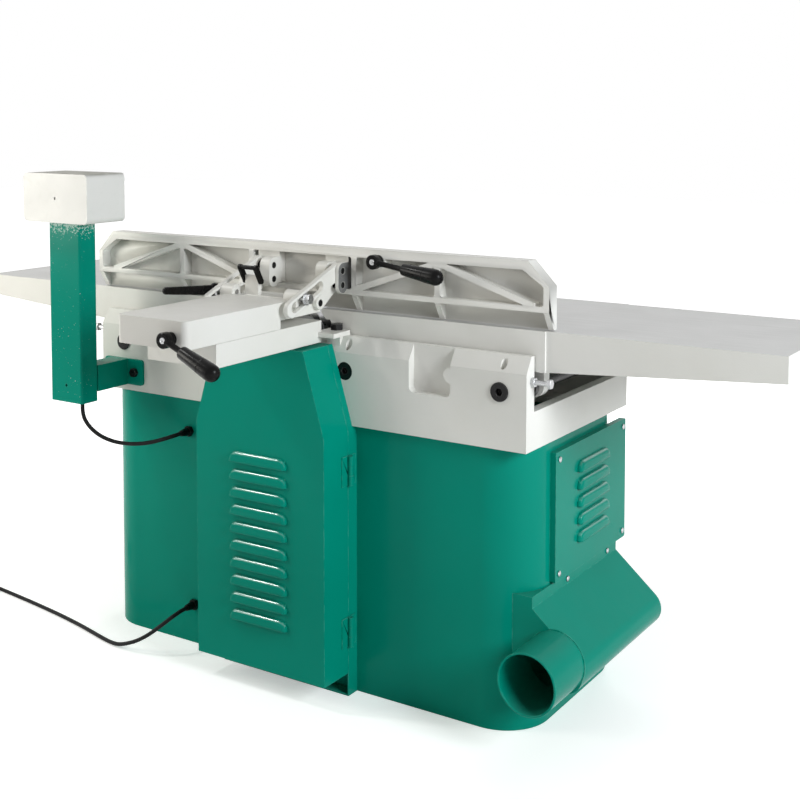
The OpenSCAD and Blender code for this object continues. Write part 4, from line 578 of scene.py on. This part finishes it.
# Belt guard
# A folded sheet-steel door on two hinges. A ladder of louvres is pressed out of it: each hood is slit
# below, rounded at its shoulders, and as thick as the sheet.
eased_copy("belt_guard", "guard_door", green, "green_paint", ease=0.0012)

# On the crest of each hood, faces that look up get a clear coat: a painted highlight of a light above.
highlight_green = made_of("green enamel with painted crest highlight", enamel, specular=0.05, **green_coat, Peel=0.04, Wear=0.3)
pressed_tree = highlight_green.node_tree
pressed_shader = pressed_tree.nodes["Principled BSDF"]
hood_facing = pressed_tree.nodes.new("ShaderNodeNewGeometry")
hood_up = pressed_tree.nodes.new("ShaderNodeSeparateXYZ")
pressed_tree.links.new(hood_facing.outputs["Normal"], hood_up.inputs[0])
painted_crest_highlight = spread(pressed_tree, hood_up.outputs["Z"], 0.45, 0.8)
pressed_tree.links.new(painted_crest_highlight, pressed_shader.inputs["Coat Weight"])
pressed_shader.inputs["Coat IOR"].default_value = 2.6
pressed_shader.inputs["Coat Roughness"].default_value = 0.24


def verts_of(geometry):
    """Vertices among mixed mesh elements"""
    return [v for v in geometry if isinstance(v, bmesh.types.BMVert)]


def raised_plate(wide, high, rise, corner, segments, all_round):
    """Plate about the origin with its upper corners or all of them rounded, and raised along Z"""
    plate = bmesh.new()
    bmesh.ops.create_grid(plate, x_segments=1, y_segments=1, size=0.5)
    bmesh.ops.scale(plate, vec=(wide, high, 1.0), verts=plate.verts)
    bmesh.ops.bevel(plate, geom=[v for v in plate.verts if all_round or v.co.y > 0], affect="VERTICES",
                    offset=corner, segments=segments, profile=0.5, material=-1)
    raised = bmesh.ops.extrude_face_region(plate, geom=plate.faces[:])["geom"]
    bmesh.ops.translate(plate, vec=(0, 0, rise), verts=verts_of(raised))
    return plate


def louvre_hoods(name, body, first, pitch, count, across, out):
    """Pressed hoods over the punched slits, one above the other and each open below"""
    wide, high, deep = 0.149, 0.0222, 0.0105
    shoulder, bend, sheet, close = 0.019, 0.0085, 0.0015, 1e-6
    up = Vector((0, 0, 1))
    hoods = raised_plate(wide, high, deep, shoulder, segments=8, all_round=False)
    rim = [e for e in hoods.edges if all(v.co.z > deep / 2 for v in e.verts)
           and not all(v.co.y < close - high / 2 for v in e.verts)]
    bmesh.ops.bevel(hoods, geom=rim, affect="EDGES", offset=bend, segments=5, profile=0.5, material=-1,
                    clamp_overlap=True)
    open_faces = [f for f in hoods.faces if all(v.co.z < close for v in f.verts)
                  or all(v.co.y < close - high / 2 for v in f.verts)]
    bmesh.ops.delete(hoods, geom=open_faces, context="FACES")
    bmesh.ops.recalc_face_normals(hoods, faces=hoods.faces)
    bmesh.ops.translate(hoods, vec=(0, high / 2, 0), verts=hoods.verts)
    lowest = hoods.verts[:] + hoods.edges[:] + hoods.faces[:]
    turn = Matrix((across, up, out)).transposed().to_4x4()
    bmesh.ops.transform(hoods, matrix=Matrix.Translation(first) @ turn, verts=verts_of(lowest))
    for k in range(1, count):
        copy = bmesh.ops.duplicate(hoods, geom=lowest)["geom"]
        bmesh.ops.translate(hoods, vec=k * pitch * up, verts=verts_of(copy))
    piece = new_piece(name, hoods, highlight_green, "green_paint", body)
    wall = piece.modifiers.new("sheet", "SOLIDIFY")
    wall.thickness = sheet
    wall.offset = -1.0


louvre_out = 0.0093
guard_low, guard_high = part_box("belt_guard")
guard_first = Vector(((guard_low.x + guard_high.x) / 2, guard_high.y - louvre_out, guard_low.z + 0.0965))
louvre_hoods("guard_louvres", "belt_guard", guard_first, pitch=0.0376, count=10,
             across=Vector((-1, 0, 0)), out=Vector((0, 1, 0)))
eased_copy("hinge_frame_leaves", "hinge_fixed_leaves", green, "green_paint", ease=0.0004)
eased_copy("hinge_door_leaves", "hinge_moving_leaves", green, "green_paint", ease=0.0004)
eased_copy("hinge_pins", "hinge_rods", bright, "bright_steel", ease=0.0004)

# End panel and dust chute
# A louvred cover on the cabinet's end, and below it a folded chute that runs into a round hose outlet.
# The outlet's free end is rolled back into a round lip.
eased_copy("end_panel", "end_cover", green, "green_paint", ease=0.0012)
panel_low, panel_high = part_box("end_panel")
panel_first = Vector((panel_low.x + louvre_out, (panel_low.y + panel_high.y) / 2, panel_low.z + 0.0565))
louvre_hoods("panel_louvres", "frame", panel_first, pitch=0.0364, count=5,
             across=Vector((0, -1, 0)), out=Vector((-1, 0, 0)))
eased_copy("dust_chute", "chute", green, "green_paint", ease=0.0016)
outlet_r, lip_r, lip_back = 0.0585, 0.0024, 0.0005
outlet_end = Vector((-0.604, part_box("dust_chute")[1].y - lip_back, 0.163))
lip = bmesh.new()
ring = bmesh.ops.create_circle(lip, segments=12, radius=lip_r)["verts"]
bmesh.ops.rotate(lip, cent=(0, 0, 0), matrix=Matrix.Rotation(math.pi / 2, 3, "Y"), verts=ring)
bmesh.ops.translate(lip, vec=outlet_end + Vector((0, 0, outlet_r)), verts=ring)
bmesh.ops.spin(lip, geom=lip.verts[:] + lip.edges[:], cent=outlet_end, axis=(0, 1, 0), angle=2 * math.pi,
               steps=64, use_merge=True)
bmesh.ops.recalc_face_normals(lip, faces=lip.faces)
new_piece("outlet_lip", lip, green, "green_paint", "frame")

# Fence support and carriage
# Cream-painted castings: the support is bolted on the rear cheek, and the carriage slides on it.
eased_copy("fence_support", "support_casting", cream, "cream_paint", ease=0.003)
eased_copy("support_bolts", "support_screws", blackened, "black_steel", ease=0.001)
eased_copy("fence_carriage", "carriage_casting", cream, "cream_paint", ease=0.004)
eased_copy("clamp_bolts", "clamp_screws", bright, "bright_steel", ease=0.0006)

# Tilt linkage and fence
# Cast links and brackets carry the long ribbed fence, whose front face is ground.
# The brackets' outer sides are milled, and their pins are blackened.
for node in ("lower_links", "upper_links"):
    eased_copy(node, node + "_cast", cream, "cream_paint", ease=0.002)
milled = made_of("milled iron", ground, metal=0.6, **{
    "Body colour": srgb(158, 159, 159), "Deep colour": srgb(120, 121, 121), "Gloss": 0.4, "Lines": 0.5,
    "Wear colour": srgb(214, 214, 212), "Wear": 0.6})
brackets = eased_copy("fence_brackets", "fence_brackets_cast", cream, "cream_paint", ease=0.0015)
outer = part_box("fence_brackets")[1].x
dress_faces(brackets, milled,
            lambda face: abs(face.normal.x) > square_on and abs(face.center.x) > outer - ground_depth)
for node in ("link_pins", "bracket_pins"):
    eased_copy(node, node + "_steel", blackened, "black_steel", ease=0.0008)
fence = eased_copy("fence", "fence_casting", cream, "cream_paint", ease=0.002, fillet=0.006)
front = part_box("fence")[0].y
dress_faces(fence, ground_top,
            lambda face: face.normal.y < -square_on and face.center.y < front + ground_depth)

# Clamp levers and flip stop
# Turned hubs with a bright screw, a cross stem and a moulded grip: a narrow root, a ring line, a round end.
# The flat lever and the bent stop have the same black finish.
for node in ("tilt_lock_lever", "flip_stop"):
    eased_copy(node, node + "_body", black_plastic, "black_plastic", ease=0.0015)


def turn_in(shape, profile, matrix, steps=36):
    """Adds a form turned about Z, from points given as radius and height in millimetres"""
    had = set(shape.verts)
    chain = [shape.verts.new((r / 1000, 0, z / 1000)) for r, z in profile]
    edges = [shape.edges.new(pair) for pair in zip(chain, chain[1:])]
    bmesh.ops.spin(shape, geom=chain + edges, cent=(0, 0, 0), axis=(0, 0, 1), angle=2 * math.pi, steps=steps,
                   use_merge=True)
    bmesh.ops.transform(shape, matrix=matrix, verts=[v for v in shape.verts if v not in had])


def grip_lever(node, carrier, drop, stem, shank):
    """Clamp lever on its carrier's rear: hub about Y, and a stem that leaves it towards -X"""
    hub_r, gap, stem_out, stem_lean = 0.015, 0.0003, 0.0182, math.radians(-9)
    end_r, end_from, end_points = 16.2, 84, 9
    body = frame["nodes"][node]["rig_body"]
    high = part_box(node)[1]
    place = Matrix.Translation((high.x - hub_r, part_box(carrier)[1].y + gap, high.z - hub_r))
    out_y = place @ Matrix.Rotation(-math.pi / 2, 4, "X")
    cross = (place @ Matrix.Translation((0, stem_out, 0)) @ Matrix.Rotation(stem_lean, 4, "Z")
             @ Matrix.Rotation(math.radians(-90 - drop), 4, "Y"))
    hub_outline = [(0, -shank), (6, -shank), (6, 0), (12.5, 0), (13.2, 0.7), (13.2, 4.5), (11.6, 6),
                   (11.6, 8.5), (14.2, 10.5), (15, 11.5), (15, 24.2), (13.2, 26), (8, 26), (7.4, 25.2),
                   (7.4, 23.5), (0, 23.5)]
    stem_outline = [(0, 2), (6.4, 2), (6.4, 17), (5.6, 19), (5.6, stem - 3), (7.4, stem - 2.5),
                    (7.8, stem - 0.5)]
    grip_outline = [(10.8, -0.5), (12, 0.6), (12.4, 2.2), (14.6, 49), (15.1, 57), (14.5, 57.5), (14.5, 58.9),
                    (15.4, 59.4), (16.1, 76)]
    for k in range(end_points + 1):
        angle = math.pi / 2 * k / end_points
        grip_outline.append((end_r * math.cos(angle), end_from + end_r * math.sin(angle)))
    lever = bmesh.new()
    turn_in(lever, hub_outline, out_y)
    turn_in(lever, stem_outline + [(r, stem + z) for r, z in grip_outline], cross)
    bmesh.ops.recalc_face_normals(lever, faces=lever.faces)
    new_piece(node + "_body", lever, black_plastic, "black_plastic", body, node)
    screw_outline = [(0, 23.4), (6.4, 23.4), (6.4, 24.6), (5.6, 25.3), (2.6, 25.3), (2.2, 24.4), (0, 24.4)]
    screw = bmesh.new()
    turn_in(screw, screw_outline, out_y, steps=24)
    bmesh.ops.recalc_face_normals(screw, faces=screw.faces)
    new_piece(node + "_screw", screw, bright, "bright_steel", body)


grip_lever("slide_lock_lever", "fence_carriage", drop=18, stem=52, shank=26)
grip_lever("fence_lever", "fence", drop=6, stem=82, shank=19)

# Switch pedestal
# A square steel column on a welded arm, in the cabinet's green, carries a cream moulded switch box.
# Below the box the column's enamel has pale specks, painted highlights of its orange peel. The box stands on
# a thin flange held by two screws.
eased_copy("switch_arm", "arm_tube", green, "green_paint", ease=0.0012)
column_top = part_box("switch_column")[1].z
specks_from, specks_full = column_top - 0.046, column_top + 0.001
sheen_specked_green = green.copy()
sheen_specked_green.name = "green enamel with painted sheen specks"
tree = sheen_specked_green.node_tree
shader = tree.nodes["Principled BSDF"]
whole = shader.inputs["Base Color"].links[0].from_socket
place = [n for n in tree.nodes if n.bl_idname == "ShaderNodeTexCoord"][0].outputs["Object"]
# Pale specks, denser towards the column's top, are painted highlights on the enamel's orange peel.
height = tree.nodes.new("ShaderNodeSeparateXYZ")
tree.links.new(place, height.inputs[0])
reach = spread(tree, height.outputs["Z"], specks_from, specks_full, 0.0, 0.3)
speck = reckon(tree, "ADD", noise(tree, place, scale=260.0, detail=3.0), reach)
painted_specks = spread(tree, speck, 0.7, 0.76, 0.0, 0.7)
tree.links.new(tint(tree, painted_specks, whole, srgb(206, 226, 218)), shader.inputs["Base Color"])
eased_copy("switch_column", "column_tube", sheen_specked_green, "green_paint", ease=0.0016)

# The switch box's plastic takes the top film at nearly full strength: painted shade that darkens the box's
# top.
cream_plastic = made_of("cream plastic", moulded, specular=0.3, **{
    "Body colour": srgb(234, 234, 231), "Scuff colour": srgb(226, 226, 222), "Gloss": 0.4, "Grain": 0.1,
    "Wear colour": srgb(248, 248, 246), "Wear": 0.4, "Dust": 0.95})
flange_w, flange_d, flange_t, flange_corner = 0.132, 0.066, 0.0022, 0.006
flange_top = Vector((0.54, 0.345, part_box("switch_box")[0].z))
flange = raised_plate(flange_w, flange_d, -flange_t, flange_corner, segments=4, all_round=True)
bmesh.ops.translate(flange, vec=flange_top, verts=flange.verts)
bmesh.ops.recalc_face_normals(flange, faces=flange.faces)
new_piece("case_flange", flange, cream_plastic, "cream_plastic", "frame")
screw_places, screw_sunk = [(0.486, 0.369), (0.596, 0.369)], 0.0001
flange_screws = bmesh.new()
for x, y in screw_places:
    turn_in(flange_screws, [(0, 0), (3.4, 0), (3.4, -1.8), (2.6, -2.6), (0, -2.6)],
            Matrix.Translation((x, y, flange_top.z - flange_t + screw_sunk)), steps=20)
bmesh.ops.recalc_face_normals(flange_screws, faces=flange_screws.faces)
new_piece("case_flange_screws", flange_screws, blackened, "black_steel", "frame")
eased_copy("switch_box", "switch_case", cream_plastic, "cream_plastic", ease=0.004, segments=3)
green_plastic = made_of("green plastic", moulded, **{
    "Body colour": srgb(20, 128, 100), "Scuff colour": srgb(30, 138, 110), "Gloss": 0.3, "Grain": 0.1})
red_plastic = made_of("red plastic", moulded, **{
    "Body colour": srgb(178, 32, 28), "Scuff colour": srgb(190, 50, 44), "Gloss": 0.3, "Grain": 0.1})
eased_copy("start_button", "start_cap", green_plastic, "green_plastic", ease=0.001)
eased_copy("stop_button", "stop_cap", red_plastic, "red_plastic", ease=0.001)

# Finish: the scene's placements are brought up to date.
bpy.context.view_layer.update()
